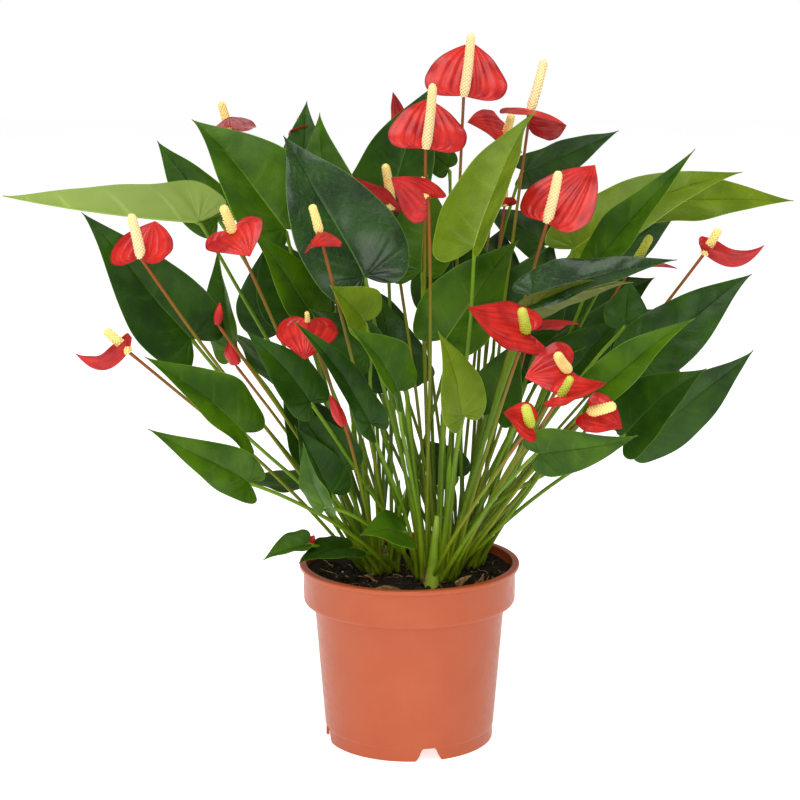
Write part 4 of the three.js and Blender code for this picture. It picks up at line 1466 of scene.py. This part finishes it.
@dataclass
class Litter:
    """Loose bits on the soil: crumbs, fibres, perlite, dried bracts and fallen stalks."""

    palette: Palette
    top: float = SOIL_TOP
    radius: float = 75.0

    def spot(self, dice: random.Random, reach: float = 1.0) -> Vector:
        """A random place on the soil.

        Args:
            dice: the seeded source.
            reach: share of the radius that is used.

        Returns:
            The place in millimetres.
        """
        turn, far = dice.uniform(0, 2 * math.pi), self.radius * reach * math.sqrt(dice.random())
        return Vector((far * math.cos(turn), far * math.sin(turn), self.top))

    def lumps(
        self, name: str, count: int, small: float, large: float, finish: bpy.types.Material, seed: int,
    ) -> bpy.types.Object:
        """Scatter rough crumbs.

        Args:
            name: the piece's name.
            count: how many crumbs.
            small: least radius.
            large: greatest radius.
            finish: what they are made of.
            seed: seed of the scatter.

        Returns:
            One object of all the crumbs.
        """
        dice = random.Random(seed)
        made = bmesh.new()
        for _ in range(count):
            size = dice.uniform(small, large)
            grain = bmesh.ops.create_icosphere(made, subdivisions=2, radius=size)["verts"]
            place = self.spot(dice) + Vector((0, 0, size * 0.3))
            squash = Vector((dice.uniform(0.7, 1.3), dice.uniform(0.7, 1.3), dice.uniform(0.5, 0.9)))
            for vert in grain:
                rough = 1 + 0.35 * noise.noise(vert.co / size * 1.7 + place)
                flat = Vector((vert.co.x * squash.x, vert.co.y * squash.y, vert.co.z * squash.z))
                vert.co = flat * rough + place
        for vert in made.verts:
            vert.co *= MM
        mesh = bpy.data.meshes.new(name)
        made.to_mesh(mesh)
        made.free()
        mesh.materials.append(finish)
        piece = bpy.data.objects.new(name, mesh)
        bpy.context.scene.collection.objects.link(piece)
        return piece

    def threads(self, name: str, count: int, finish: bpy.types.Material, seed: int) -> bpy.types.Object:
        """Scatter thin curled fibres.

        Args:
            name: the piece's name.
            count: how many fibres.
            finish: what they are made of.
            seed: seed of the scatter.

        Returns:
            One object of all the fibres.
        """
        dice = random.Random(seed)
        body = Body()
        steps = 14
        for _ in range(count):
            place = self.spot(dice, 0.92)
            turn, length = dice.uniform(0, 2 * math.pi), dice.uniform(8, 22)
            points = []
            for i in range(5):
                along = place + Vector((math.cos(turn), math.sin(turn), 0)) * length * i / 4
                stray = Vector((dice.uniform(-1.5, 1.5), dice.uniform(-1.5, 1.5), dice.uniform(0.5, 3.0)))
                points.append(along + stray)
            inside = [p for p in points if math.hypot(p.x, p.y) < self.radius + 2]
            line = spline(inside or points[:2], steps)
            thick = dice.uniform(0.25, 0.6)
            tube(body, line, [thick * (1 - 0.5 * i / steps) for i in range(steps + 1)], 6, 0)
        return body.make(name, [finish])

    def fallen(
        self, name: str, start: Vector, end: Vector, thick: float, finish: bpy.types.Material,
    ) -> bpy.types.Object:
        """Lay down one fallen stalk.

        Args:
            name: the piece's name.
            start: one end.
            end: the other end.
            thick: radius of the stalk.
            finish: what it is made of.

        Returns:
            The stalk's object.
        """
        body = Body()
        middle = (start + end) / 2 + Vector((0, 1.5, 1.5))
        steps = 20
        line = spline([start, middle, end], steps)
        radii = []
        for i in range(steps + 1):
            radii.append(thick * (0.75 + 0.35 * math.sin(math.pi * i / steps) + 0.06 * math.sin(i * 1.9)))
        tube(body, line, radii, 14, 0)
        return body.make(name, [finish])

    def wrap(self, name: str, points: list[Vector]) -> bpy.types.Object:
        """Stand one thick pale sheath round the foot of a stem.

        Args:
            name: the piece's name.
            points: centre points from the soil upward.

        Returns:
            The sheath's object.
        """
        body = Body()
        steps = 40
        line = spline(points, steps)
        radii = [
            5.6 - 3.6 * (i / steps) ** 0.8 + 0.35 * math.exp(-(((i - 5) / 2) ** 2)) for i in range(steps + 1)
        ]
        tube(body, line, radii, 26, 0, 0.25)
        return body.make(name, [self.palette.sheath])

    def flake(
        self, name: str, place: Vector, aim: Vector, facing: Vector, width: float, curl: float,
        finish: bpy.types.Material, seed: int,
    ) -> bpy.types.Object:
        """Lay down or lean one curled bract.

        Args:
            name: the piece's name.
            place: its lower end.
            aim: from its lower end to its tip.
            facing: direction its hollow side looks.
            width: its width.
            curl: fold angle in degrees.
            finish: what it is made of.
            seed: seed of its ripple.

        Returns:
            The bract's object.
        """
        body = Body()
        sheet = Sheet(
            place, place + aim, facing, width, math.radians(curl), 0.12, Form.FAN, seed,
            thickness=0.5, ripple=1.4, ribs=7, rib_height=0.25,
        )
        sheet.build(body, 0, 0, 36)
        return body.make(name, [finish])


# ---------------------------------------------------------------------------
# The pot
# ---------------------------------------------------------------------------


# One notch of the skirt, seen from outside: across and up, from the left foot round to the left side.
NOTCH_OUTLINE = (
    (-11.5, -1.0), (11.5, -1.0), (9.4, 1.2), (7.6, 4.0), (6.6, 6.6), (5.6, 8.9), (4.2, 10.0),
    (-4.2, 10.0), (-5.6, 8.9), (-6.6, 6.6), (-7.6, 4.0), (-9.4, 1.2),
)


@dataclass
class Pot:
    """Moulded nursery pot with a rolled lip, a stepped collar, a skirt with notches and drain holes."""

    palette: Palette
    wall: float = 2.2
    overhang: float = 3.3
    lip: float = 3.8
    collar: float = 30.0
    step: float = 8.2
    taper: float = 8.0
    foot: float = 10.5
    inset: float = 0.6
    notch_turn: float = 13.5
    drain_circle: float = 38.0
    drain_radius: float = 5.0
    segments: int = 160

    def __post_init__(self) -> None:
        """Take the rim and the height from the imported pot."""
        low, high = (Vector(corner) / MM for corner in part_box("pot"))
        self.height = high.z - low.z
        self.rim = (high.x - low.x) / 2
        self.shoulder = self.height - self.collar

    def radius(self, z: float) -> float:
        """Outside radius of the tapered body.

        Args:
            z: the height it is taken at.

        Returns:
            The radius in millimetres.
        """
        top = self.rim - self.overhang - self.step
        return top - self.taper * (1 - (z - self.foot) / (self.shoulder - self.foot))

    def profile(self) -> list[tuple[float, float]]:
        """Half section with softened corners.

        Returns:
            Radius and height pairs from the floor's underside to its top.
        """
        collar = self.rim - self.overhang
        inside = collar - self.wall
        foot = self.radius(self.foot) - self.inset
        top = self.radius(self.shoulder - 3)
        sharp = [
            (0.0, self.foot, 0.0), (foot - self.wall, self.foot, 0.8), (foot - self.wall, 0.0, 0.5),
            (foot, 0.0, 0.7), (foot, self.foot - 0.6, 0.3), (self.radius(self.foot), self.foot + 0.4, 0.5),
            (top, self.shoulder - 3.2, 1.6), (top + 1.2, self.shoulder - 0.4, 1.0),
            (collar - 0.6, self.shoulder, 1.6),
            (collar, self.shoulder + 2.0, 1.2), (collar, self.height - self.lip, 0.7),
            (self.rim - 0.4, self.height - self.lip, 1.1), (self.rim, self.height, 1.9),
            (inside, self.height, 0.9), (inside, self.shoulder + 3, 2.0),
            (top - self.wall, self.shoulder - 2, 2.0),
            (self.radius(self.foot + self.wall) - self.wall, self.foot + self.wall, 2.0),
            (0.0, self.foot + self.wall, 0.0),
        ]
        return self.soften(sharp)

    def soften(self, sharp: list[tuple[float, float, float]]) -> list[tuple[float, float]]:
        """Round the corners of a section.

        Args:
            sharp: radius, height and corner radius of each corner.

        Returns:
            The rounded section.
        """
        places = [(sharp[0][0], sharp[0][1])]
        for i in range(1, len(sharp) - 1):
            before, here, after = (Vector(sharp[k][:2]) for k in (i - 1, i, i + 1))
            back, ahead = before - here, after - here
            cut = min(sharp[i][2], 0.45 * back.length, 0.45 * ahead.length)
            start, end = here + back.normalized() * cut, here + ahead.normalized() * cut
            for k in range(6):
                t = k / 5
                place = start * (1 - t) ** 2 + here * 2 * t * (1 - t) + end * t * t
                places.append((place.x, place.y))
        places.append((sharp[-1][0], sharp[-1][1]))
        return places

    def build(self) -> bpy.types.Object:
        """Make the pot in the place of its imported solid.

        Returns:
            The pot's object.
        """
        piece = self.lathe("pot.shell", self.profile())
        cutters = [self.notch(i) for i in range(4)] + [self.hole(i) for i in range(4)]
        for cutter in cutters:
            cut = piece.modifiers.new("cut", "BOOLEAN")
            cut.object, cut.operation, cut.solver = cutter, "DIFFERENCE", "EXACT"
        apply_modifiers(piece)
        for cutter in cutters:
            bpy.data.objects.remove(cutter, do_unlink=True)
        piece.data.shade_smooth()
        smooth_by_angle(piece, degrees=38)
        piece.data.materials.clear()
        piece.data.materials.append(self.palette.pot)
        return piece

    def lathe(self, name: str, section: list[tuple[float, float]]) -> bpy.types.Object:
        """Turn a closed section about the upright axis.

        Args:
            name: the piece's name.
            section: radius and height pairs from axis to axis.

        Returns:
            The turned object.
        """
        body = Body()
        rings: list[list[int]] = []
        for radius, z in section:
            if radius < 1e-6:
                rings.append([body.add(Vector((0, 0, z)))] * self.segments)
                continue
            turns = (2 * math.pi * k / self.segments for k in range(self.segments))
            rings.append([body.add(Vector((radius * math.cos(t), radius * math.sin(t), z))) for t in turns])
        for lower, upper in zip(rings, rings[1:]):
            for k in range(self.segments):
                body.face(
                    (lower[k], lower[(k + 1) % self.segments], upper[(k + 1) % self.segments], upper[k])
                )
        return body.make(name, [self.palette.pot])

    def notch(self, index: int) -> bpy.types.Object:
        """Cutter for one rounded notch in the skirt.

        Args:
            index: which of the four.

        Returns:
            The cutter.
        """
        turn = math.radians(self.notch_turn + 90 * index)
        place = Matrix.Rotation(turn, 4, "Z") @ Matrix.Translation((0, -self.radius(self.foot), 0))
        body = Body()
        near = [body.add(place @ Vector((x, -4, z))) for x, z in NOTCH_OUTLINE]
        far = [body.add(place @ Vector((x, 9, z))) for x, z in NOTCH_OUTLINE]
        count = len(NOTCH_OUTLINE)
        for k in range(count):
            body.face((near[k], near[(k + 1) % count], far[(k + 1) % count], far[k]))
        body.face(tuple(reversed(near)))
        body.face(tuple(far))
        return self.closed(body, "notch")

    def hole(self, index: int) -> bpy.types.Object:
        """Cutter for one drain hole in the floor.

        Args:
            index: which of the four.

        Returns:
            The cutter.
        """
        turn = math.radians(45 + 90 * index)
        far = self.drain_circle
        centre = Vector((far * math.cos(turn), far * math.sin(turn), self.foot - 3))
        body = Body()
        tube(body, [centre, centre + Vector((0, 0, 9))], [self.drain_radius] * 2, 40, 0)
        return self.closed(body, "drain")

    @staticmethod
    def closed(body: Body, name: str) -> bpy.types.Object:
        """Make a cutter with outward faces.

        Args:
            body: its vertices and faces.
            name: its name.

        Returns:
            The cutter's object.
        """
        piece = body.make(name, [])
        made = bmesh.new()
        made.from_mesh(piece.data)
        bmesh.ops.recalc_face_normals(made, faces=made.faces)
        made.to_mesh(piece.data)
        made.free()
        return piece


@dataclass
class Soil:
    """Peat that fills the pot, a little heaped in the middle and banked up at the wall."""

    palette: Palette
    rings: int = 46
    segments: int = 120

    def build(self) -> bpy.types.Object:
        """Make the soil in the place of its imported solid.

        Returns:
            The soil's object.
        """
        low, high = (Vector(corner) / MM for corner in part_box("soil"))
        radius, top = (high.x - low.x) / 2, high.z
        body = Body()
        middle = body.add(Vector((0, 0, self.height(0, 0, top, radius))))
        rows = []
        for i in range(1, self.rings + 1):
            far = radius * i / self.rings
            row = []
            for k in range(self.segments):
                turn = 2 * math.pi * k / self.segments
                x, y = far * math.cos(turn), far * math.sin(turn)
                row.append(body.add(Vector((x, y, self.height(x, y, top, radius)))))
            rows.append(row)
        for far, z in ((radius, top - 16.6), (70.3, top - 22), (62.4, low.z)):
            turns = (2 * math.pi * k / self.segments for k in range(self.segments))
            rows.append([body.add(Vector((far * math.cos(t), far * math.sin(t), z))) for t in turns])
        for k in range(self.segments):
            body.face((middle, rows[0][k], rows[0][(k + 1) % self.segments]))
        for inner, outer in zip(rows, rows[1:]):
            for k in range(self.segments):
                body.face(
                    (inner[k], outer[k], outer[(k + 1) % self.segments], inner[(k + 1) % self.segments])
                )
        body.face(tuple(reversed(rows[-1])))
        return body.make("soil.peat", [self.palette.soil])

    @staticmethod
    def height(x: float, y: float, top: float, radius: float) -> float:
        """Height of the peat at a place.

        Args:
            x: place across.
            y: place front to back.
            top: level of the packed soil.
            radius: the soil's radius.

        Returns:
            The height in millimetres.
        """
        far = math.hypot(x, y) / radius
        heap = SOIL_HEAP * (1 - far ** 2)
        rough = 1.8 * noise.noise(Vector((x, y, 0)) / 14) + 1.1 * noise.noise(Vector((x, y, 9)) / 5)
        fine = 0.8 * noise.noise(Vector((x, y, 4)) / 2.2)
        bank = SOIL_BANK * max(0.0, far - BANK_START) / BANK_WIDTH
        return top - 1.4 + heap + rough + fine + bank


def apply_modifiers(piece: bpy.types.Object) -> None:
    """Keep the result of a piece's modifiers as its mesh.

    Args:
        piece: the object.
    """
    graph = bpy.context.evaluated_depsgraph_get()
    mesh = bpy.data.meshes.new_from_object(piece.evaluated_get(graph))
    piece.modifiers.clear()
    piece.data = mesh


def smooth_by_angle(piece: bpy.types.Object, degrees: float) -> None:
    """Keep edges sharp where faces meet at more than an angle.

    Args:
        piece: the object.
        degrees: the angle.
    """
    made = bmesh.new()
    made.from_mesh(piece.data)
    for edge in made.edges:
        edge.smooth = not edge.is_manifold or edge.calc_face_angle(0.0) < math.radians(degrees)
    made.to_mesh(piece.data)
    made.free()


# ---------------------------------------------------------------------------
# The studio
# ---------------------------------------------------------------------------


@dataclass
class Studio:
    """Pale floor, soft lights and the camera."""

    eye: tuple[float, float, float] = (0.0, -1.669, 0.612)
    pitch: float = 78.3
    yaw: float = 0.248
    lens: float = 100.8

    def build(self) -> None:
        """Set up the floor, the lights, the surroundings and the camera."""
        self.floor()
        self.light("overhead", (-0.2, -0.5, 2.3), (0.0, 0.0, 0.2), 1.5, 34.0)
        self.light("left", (-1.7, -1.6, 1.2), (0.0, 0.0, 0.3), 0.9, 11.0)
        self.light("right", (1.8, -1.4, 1.4), (0.0, 0.0, 0.3), 0.9, 9.0)
        self.light("front", (-0.1, -2.5, 1.2), (0.0, 0.0, 0.25), 1.1, 20.0)
        self.surroundings(glow=0.34, seen=1.0)
        bpy.context.scene.view_settings.view_transform = "Standard"
        camera = bpy.data.objects.new("camera", bpy.data.cameras.new("camera"))
        camera.location = self.eye
        camera.rotation_euler = (math.radians(self.pitch), 0.0, math.radians(self.yaw))
        camera.data.lens = self.lens
        camera.data.sensor_width = 36.0
        bpy.context.scene.collection.objects.link(camera)
        bpy.context.scene.camera = camera

    @staticmethod
    def surroundings(glow: float, seen: float) -> None:
        """Put the plant in a plain white room.

        Args:
            glow: how strongly the walls light the plant.
            seen: how bright they look themselves.
        """
        world = bpy.data.worlds.new("surroundings")
        world.use_nodes = True
        nodes, links = world.node_tree.nodes, world.node_tree.links
        background = nodes["Background"]
        background.inputs["Color"].default_value = (1.0, 1.0, 1.0, 1.0)
        path, level = nodes.new("ShaderNodeLightPath"), nodes.new("ShaderNodeMapRange")
        level.inputs["To Min"].default_value = glow
        level.inputs["To Max"].default_value = seen
        links.new(path.outputs["Is Camera Ray"], level.inputs["Value"])
        links.new(level.outputs[0], background.inputs["Strength"])
        bpy.context.scene.world = world

    def floor(self) -> None:
        """Lay the pale floor."""
        mesh = bpy.data.meshes.new("floor")
        reach = 6.0
        corners = [(-reach, -reach, 0), (reach, -reach, 0), (reach, reach, 0), (-reach, reach, 0)]
        mesh.from_pydata(corners, [], [(0, 1, 2, 3)])
        bench = Bench("pale_floor")
        shade = bench.blend(bench.cloud(3.0, 2), (0.9, 0.9, 0.9), (0.93, 0.93, 0.93))
        mesh.materials.append(bench.finish(
            Base_Color=shade, Roughness=0.8, Emission_Color=(1.0, 1.0, 1.0), Emission_Strength=0.66,
        ))
        floor = bpy.data.objects.new("floor", mesh)
        bpy.context.scene.collection.objects.link(floor)

    @staticmethod
    def light(
        name: str, place: tuple[float, float, float], aim: tuple[float, float, float], size: float,
        power: float,
    ) -> None:
        """Hang one soft light.

        Args:
            name: the light's name.
            place: where it hangs.
            aim: what it points at.
            size: its edge length in metres.
            power: its power in watts.
        """
        lamp = bpy.data.lights.new(name, "AREA")
        lamp.shape, lamp.size, lamp.energy = "SQUARE", size, power
        holder = bpy.data.objects.new(name, lamp)
        holder.location = place
        holder.rotation_euler = (Vector(aim) - Vector(place)).to_track_quat("-Z", "Y").to_euler()
        bpy.context.scene.collection.objects.link(holder)


def settle(piece: bpy.types.Object, slot: str, *nodes: str) -> None:
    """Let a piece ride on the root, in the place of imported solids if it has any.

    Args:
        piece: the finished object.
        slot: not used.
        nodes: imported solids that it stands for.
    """
    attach(piece, "root")
    if nodes:
        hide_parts(*nodes)
    LOG.info("%s: %d faces", piece.name, len(piece.data.polygons))


EXTRA_LEAVES: list[LeafPlan] = [
    LeafPlan(
        "leaf_31", "b", Tone.PALE, (38, -120, 280), (20, -135, 343), 40, (0.5, -0.8, 0.1), 18, 0.05, True,
    ),
    LeafPlan("leaf_36", "a", Tone.DARK, (-10, 150, 250), (-20, 215, 262), 66, (0, 0.3, 0.9), 14, 0.08, True),
    LeafPlan("leaf_41", "b", Tone.DARK, (107, 110, 370), (59, 140, 397), 40, (0, -0.6, 0.7), 10, 0.05, True),
    LeafPlan("leaf_42", "b", Tone.DARK, (163, 120, 357), (221, 150, 393), 44, (0, -0.5, 0.8), 10, 0.05, True),
    LeafPlan("leaf_43", "b", Tone.DARK, (158, -50, 334), (162, -40, 365), 34, (0, -0.9, 0.3), 14, 0.05, True),
    LeafPlan("leaf_44", "b", Tone.MID, (127, 20, 305), (215, 40, 329), 40, (0, -0.2, 0.9), 16, 0.06, True),
    LeafPlan("leaf_45", "b", Tone.MID, (176, 10, 299), (221, 10, 308), 26, (0, -0.2, 0.9), 16, 0.04, True),
    LeafPlan("leaf_46", "b", Tone.DARK, (148, -20, 273), (164, -20, 297), 30, (0, -0.9, 0.3), 12, 0.04, True),
    LeafPlan("leaf_47", "a", Tone.DARK, (-30, -60, 312), (-73, -60, 347), 40, (0, -0.8, 0.5), 12, 0.05, True),
    LeafPlan("leaf_48", "b", Tone.DARK, (36, 40, 197), (10, 60, 223), 34, (0, -0.8, 0.5), 12, 0.05, True),
    LeafPlan("leaf_49", "c", Tone.MID, (31, 140, 429), (12, 140, 446), 26, (0, -0.9, 0.4), 12, 0.04, True),
    LeafPlan("leaf_50", "a", Tone.DARK, (-52, -50, 224), (-84, -60, 275), 46, (0, -0.9, 0.3), 12, 0.05, True),
    LeafPlan("leaf_51", "a", Tone.MID, (-86, 40, 190), (-139, 60, 185), 40, (0, -0.2, 0.9), 16, 0.05, True),
    LeafPlan("leaf_52", "a", Tone.MID, (-76, -60, 169), (-109, -60, 157), 30, (0, -0.4, 0.9), 30, 0.04, True),
    LeafPlan("leaf_53", "b", Tone.MID, (9, 20, 363), (14, 62, 432), 64, (-0.5, -0.8, 0.2), 18, 0.04, True),
    LeafPlan(
        "leaf_54", "b", Tone.PALE, (-32, -92, 343), (-56, -112, 372), 44, (0.2, -0.8, 0.5), 26, 0.04, True,
    ),
    LeafPlan(
        "leaf_55", "a", Tone.DARK, (-66, -20, 232), (-96, -40, 290), 48, (0.3, -0.9, 0.2), 14, 0.05, True,
    ),
    LeafPlan(
        "leaf_56", "a", Tone.DARK, (-58, -50, 206), (-84, -70, 262), 40, (0.4, -0.9, 0.2), 16, 0.05, True,
    ),
    LeafPlan("leaf_57", "b", Tone.DARK, (40, 66, 330), (28, 96, 400), 74, (-0.2, -0.9, 0.2), 14, 0.05, True),
    LeafPlan("leaf_58", "c", Tone.DARK, (84, 40, 316), (112, 56, 380), 66, (-0.2, -0.9, 0.3), 14, 0.05, True),
    LeafPlan("leaf_59", "c", Tone.DARK, (118, 10, 282), (160, 0, 330), 50, (-0.3, -0.9, 0.3), 16, 0.05, True),
    LeafPlan(
        "leaf_60", "a", Tone.DARK, (-84, 30, 330), (-110, 50, 388), 60, (0.1, -0.95, 0.2), 12, 0.05, True,
    ),
    LeafPlan(
        "leaf_61", "b", Tone.DARK, (-10, 30, 276), (-22, 46, 340), 54, (0.1, -0.95, 0.1), 12, 0.05, True,
    ),
    LeafPlan("leaf_62", "b", Tone.MID, (64, -20, 262), (84, -30, 322), 44, (-0.4, -0.9, 0.2), 16, 0.05, True),
    LeafPlan(
        "leaf_63", "b", Tone.DARK, (86, -108, 355), (158, -104, 373), 26, (0.2, 0.8, 0.6), 8, 0.05, True,
    ),
    LeafPlan("leaf_64", "b", Tone.MID, (14, 96, 330), (-4, 150, 396), 66, (-0.1, 0.6, 0.75), 14, 0.06, True),
    LeafPlan("leaf_65", "c", Tone.DARK, (58, 92, 322), (76, 146, 380), 62, (0.2, 0.6, 0.75), 14, 0.06, True),
    LeafPlan(
        "leaf_66", "a", Tone.DARK, (-60, 70, 330), (-84, 128, 378), 60, (-0.2, 0.5, 0.8), 14, 0.06, True,
    ),
    LeafPlan(
        "leaf_67", "a", Tone.MID, (-30, 110, 290), (-44, 180, 330), 64, (-0.1, 0.6, 0.8), 14, 0.08, True,
    ),
    LeafPlan("leaf_68", "c", Tone.DARK, (100, 60, 270), (140, 120, 310), 56, (0.3, 0.5, 0.8), 14, 0.07, True),
    LeafPlan(
        "leaf_69", "a", Tone.MID, (-100, 40, 270), (-150, 90, 305), 54, (-0.3, 0.5, 0.8), 14, 0.07, True,
    ),
]

EXTRA_FLOWERS: list[FlowerPlan] = [
    FlowerPlan(
        "flower_06", "c", Form.HEART, (-84, 195, 447), (-92, 198, 466), (-98, 175, 456), 30, 20, 0.05, True,
    ),
    FlowerPlan(
        "flower_16", "c", Form.HEART, (176, 100, 352), (192, 104, 379), (212, 92, 354), 34, 20, 0.05, True,
    ),
    FlowerPlan(
        "flower_24", "b", Form.HEART, (194, 0, 294), (211, 0, 303), (206, -10, 286), 24, 20, 0.05, True,
    ),
    FlowerPlan(
        "flower_25", "c", Form.HEART, (75, 100, 403), (76, 105, 416), (66, 90, 410), 24, 20, 0.05, True,
    ),
]

GLOSSY = ("leaf_07", "leaf_23")
GREEN_SPADICES = ("flower_17", "flower_20", "flower_21", "flower_24", "flower_16")
CREAM_SPADICES = ("flower_02", "flower_08", "flower_09", "flower_10", "flower_12", "flower_18", "flower_14")


def spadix_tone(name: str) -> str:
    """Colour of a flower's spadix by its age.

    Args:
        name: the flower's name.

    Returns:
        A key of the palette's spadices.
    """
    if name in GREEN_SPADICES:
        return "green"
    return "cream" if name in CREAM_SPADICES else "yellow"


def buds(palette: Palette) -> list[Bud]:
    """Every bud and rolled young leaf.

    Args:
        palette: the plant's finishes.

    Returns:
        The buds.
    """
    return [
        Bud("bud.1", "a", (-138, -90, 340), (-135, -90, 356), 6.5, 1, palette),
        Bud("bud.2", "a", (-128, -60, 305), (-131, -60, 323), 11, 2, palette),
        Bud("bud.3", "b", (38, -120, 294), (24, -130, 326), 7, 3, palette, True),
        Bud("bud.4", "a", (-46, -110, 271), (-57, -110, 293), 9, 4, palette),
        Bud("bud.5", "b", (176, 6, 312), (186, 6, 321), 7, 5, palette),
        Bud("bud.6", "a", (-76, -50, 166), (-71, -56, 175), 6, 6, palette),
    ]


def plant(palette: Palette) -> None:
    """Build every leaf, flower, bud and crown.

    Args:
        palette: the plant's finishes.
    """
    for index, plan in enumerate(LEAVES + EXTRA_LEAVES):
        piece = Leaf(plan, palette, index).build()
        settle(piece, plan.tone.value, *([] if plan.extra else [plan.name]))
    for index, plan in enumerate(FLOWERS + EXTRA_FLOWERS):
        piece = Flower(plan, palette, index + 60, spadix_tone=spadix_tone(plan.name)).build()
        settle(piece, "flower", *([] if plan.extra else [plan.name]))
    for bud in buds(palette):
        settle(bud.build(), "leaf_pale" if bud.leafy else "flower")
    settle(YoungShoots(palette).build(), "leaf")
    for index, node in enumerate(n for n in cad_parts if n.startswith("crown")):
        settle(Crown(node, palette, index + 3).build(), "crown", node)


def bed(palette: Palette) -> None:
    """Build the pot, the soil and what lies on it.

    Args:
        palette: the plant's finishes.
    """
    settle(Pot(palette).build(), "pot", "pot")
    settle(Soil(palette).build(), "soil", "soil")
    litter = Litter(palette)
    settle(litter.lumps("soil.crumbs", 420, 0.9, 3.2, palette.soil, 5), "soil")
    settle(litter.lumps("soil.perlite", 26, 0.6, 1.4, palette.grit, 8), "soil")
    settle(litter.threads("soil.fibres", 46, palette.fibre, 11), "soil")
    settle(
        litter.fallen("fallen.stalk", Vector((-26, -60, 134)), Vector((-7, -58, 133)), 1.8, palette.bract),
        "crown",
    )
    settle(
        litter.fallen("fallen.green", Vector((-48, -58, 133)), Vector((-33, -62, 133)), 1.3, palette.petiole),
        "crown",
    )
    wrap = litter.wrap(
        "sheath.front", [Vector((17, -37, 129)), Vector((18, -38, 150)), Vector((21, -41, 186))],
    )
    settle(wrap, "crown")
    flakes = [
        (Vector((38, -44, 132)), Vector((9, -4, 10)), Vector((-0.6, -0.8, 0.3)), 9.0, 46),
        (Vector((50, -42, 132)), Vector((6, 2, 9)), Vector((0.5, -0.9, 0.2)), 8.0, 52),
        (Vector((12, -36, 131)), Vector((2, -4, 16)), Vector((0.1, 1.0, 0.0)), 9.0, 40),
        (Vector((-28, -30, 131)), Vector((-6, -8, 8)), Vector((0.2, -0.6, 0.8)), 9.0, 42),
    ]
    for index, (place, aim, facing, width, curl) in enumerate(flakes):
        piece = litter.flake(f"bract.{index + 1}", place, aim, facing, width, curl, palette.bract, index)
        settle(piece, "crown")


def main() -> None:
    """Build the potted anthurium piece by piece."""
    logging.basicConfig(level=logging.INFO, format="%(message)s")
    palette = Palette()
    bed(palette)
    plant(palette)
    Studio().build()


if __name__ == "__main__":
    main()
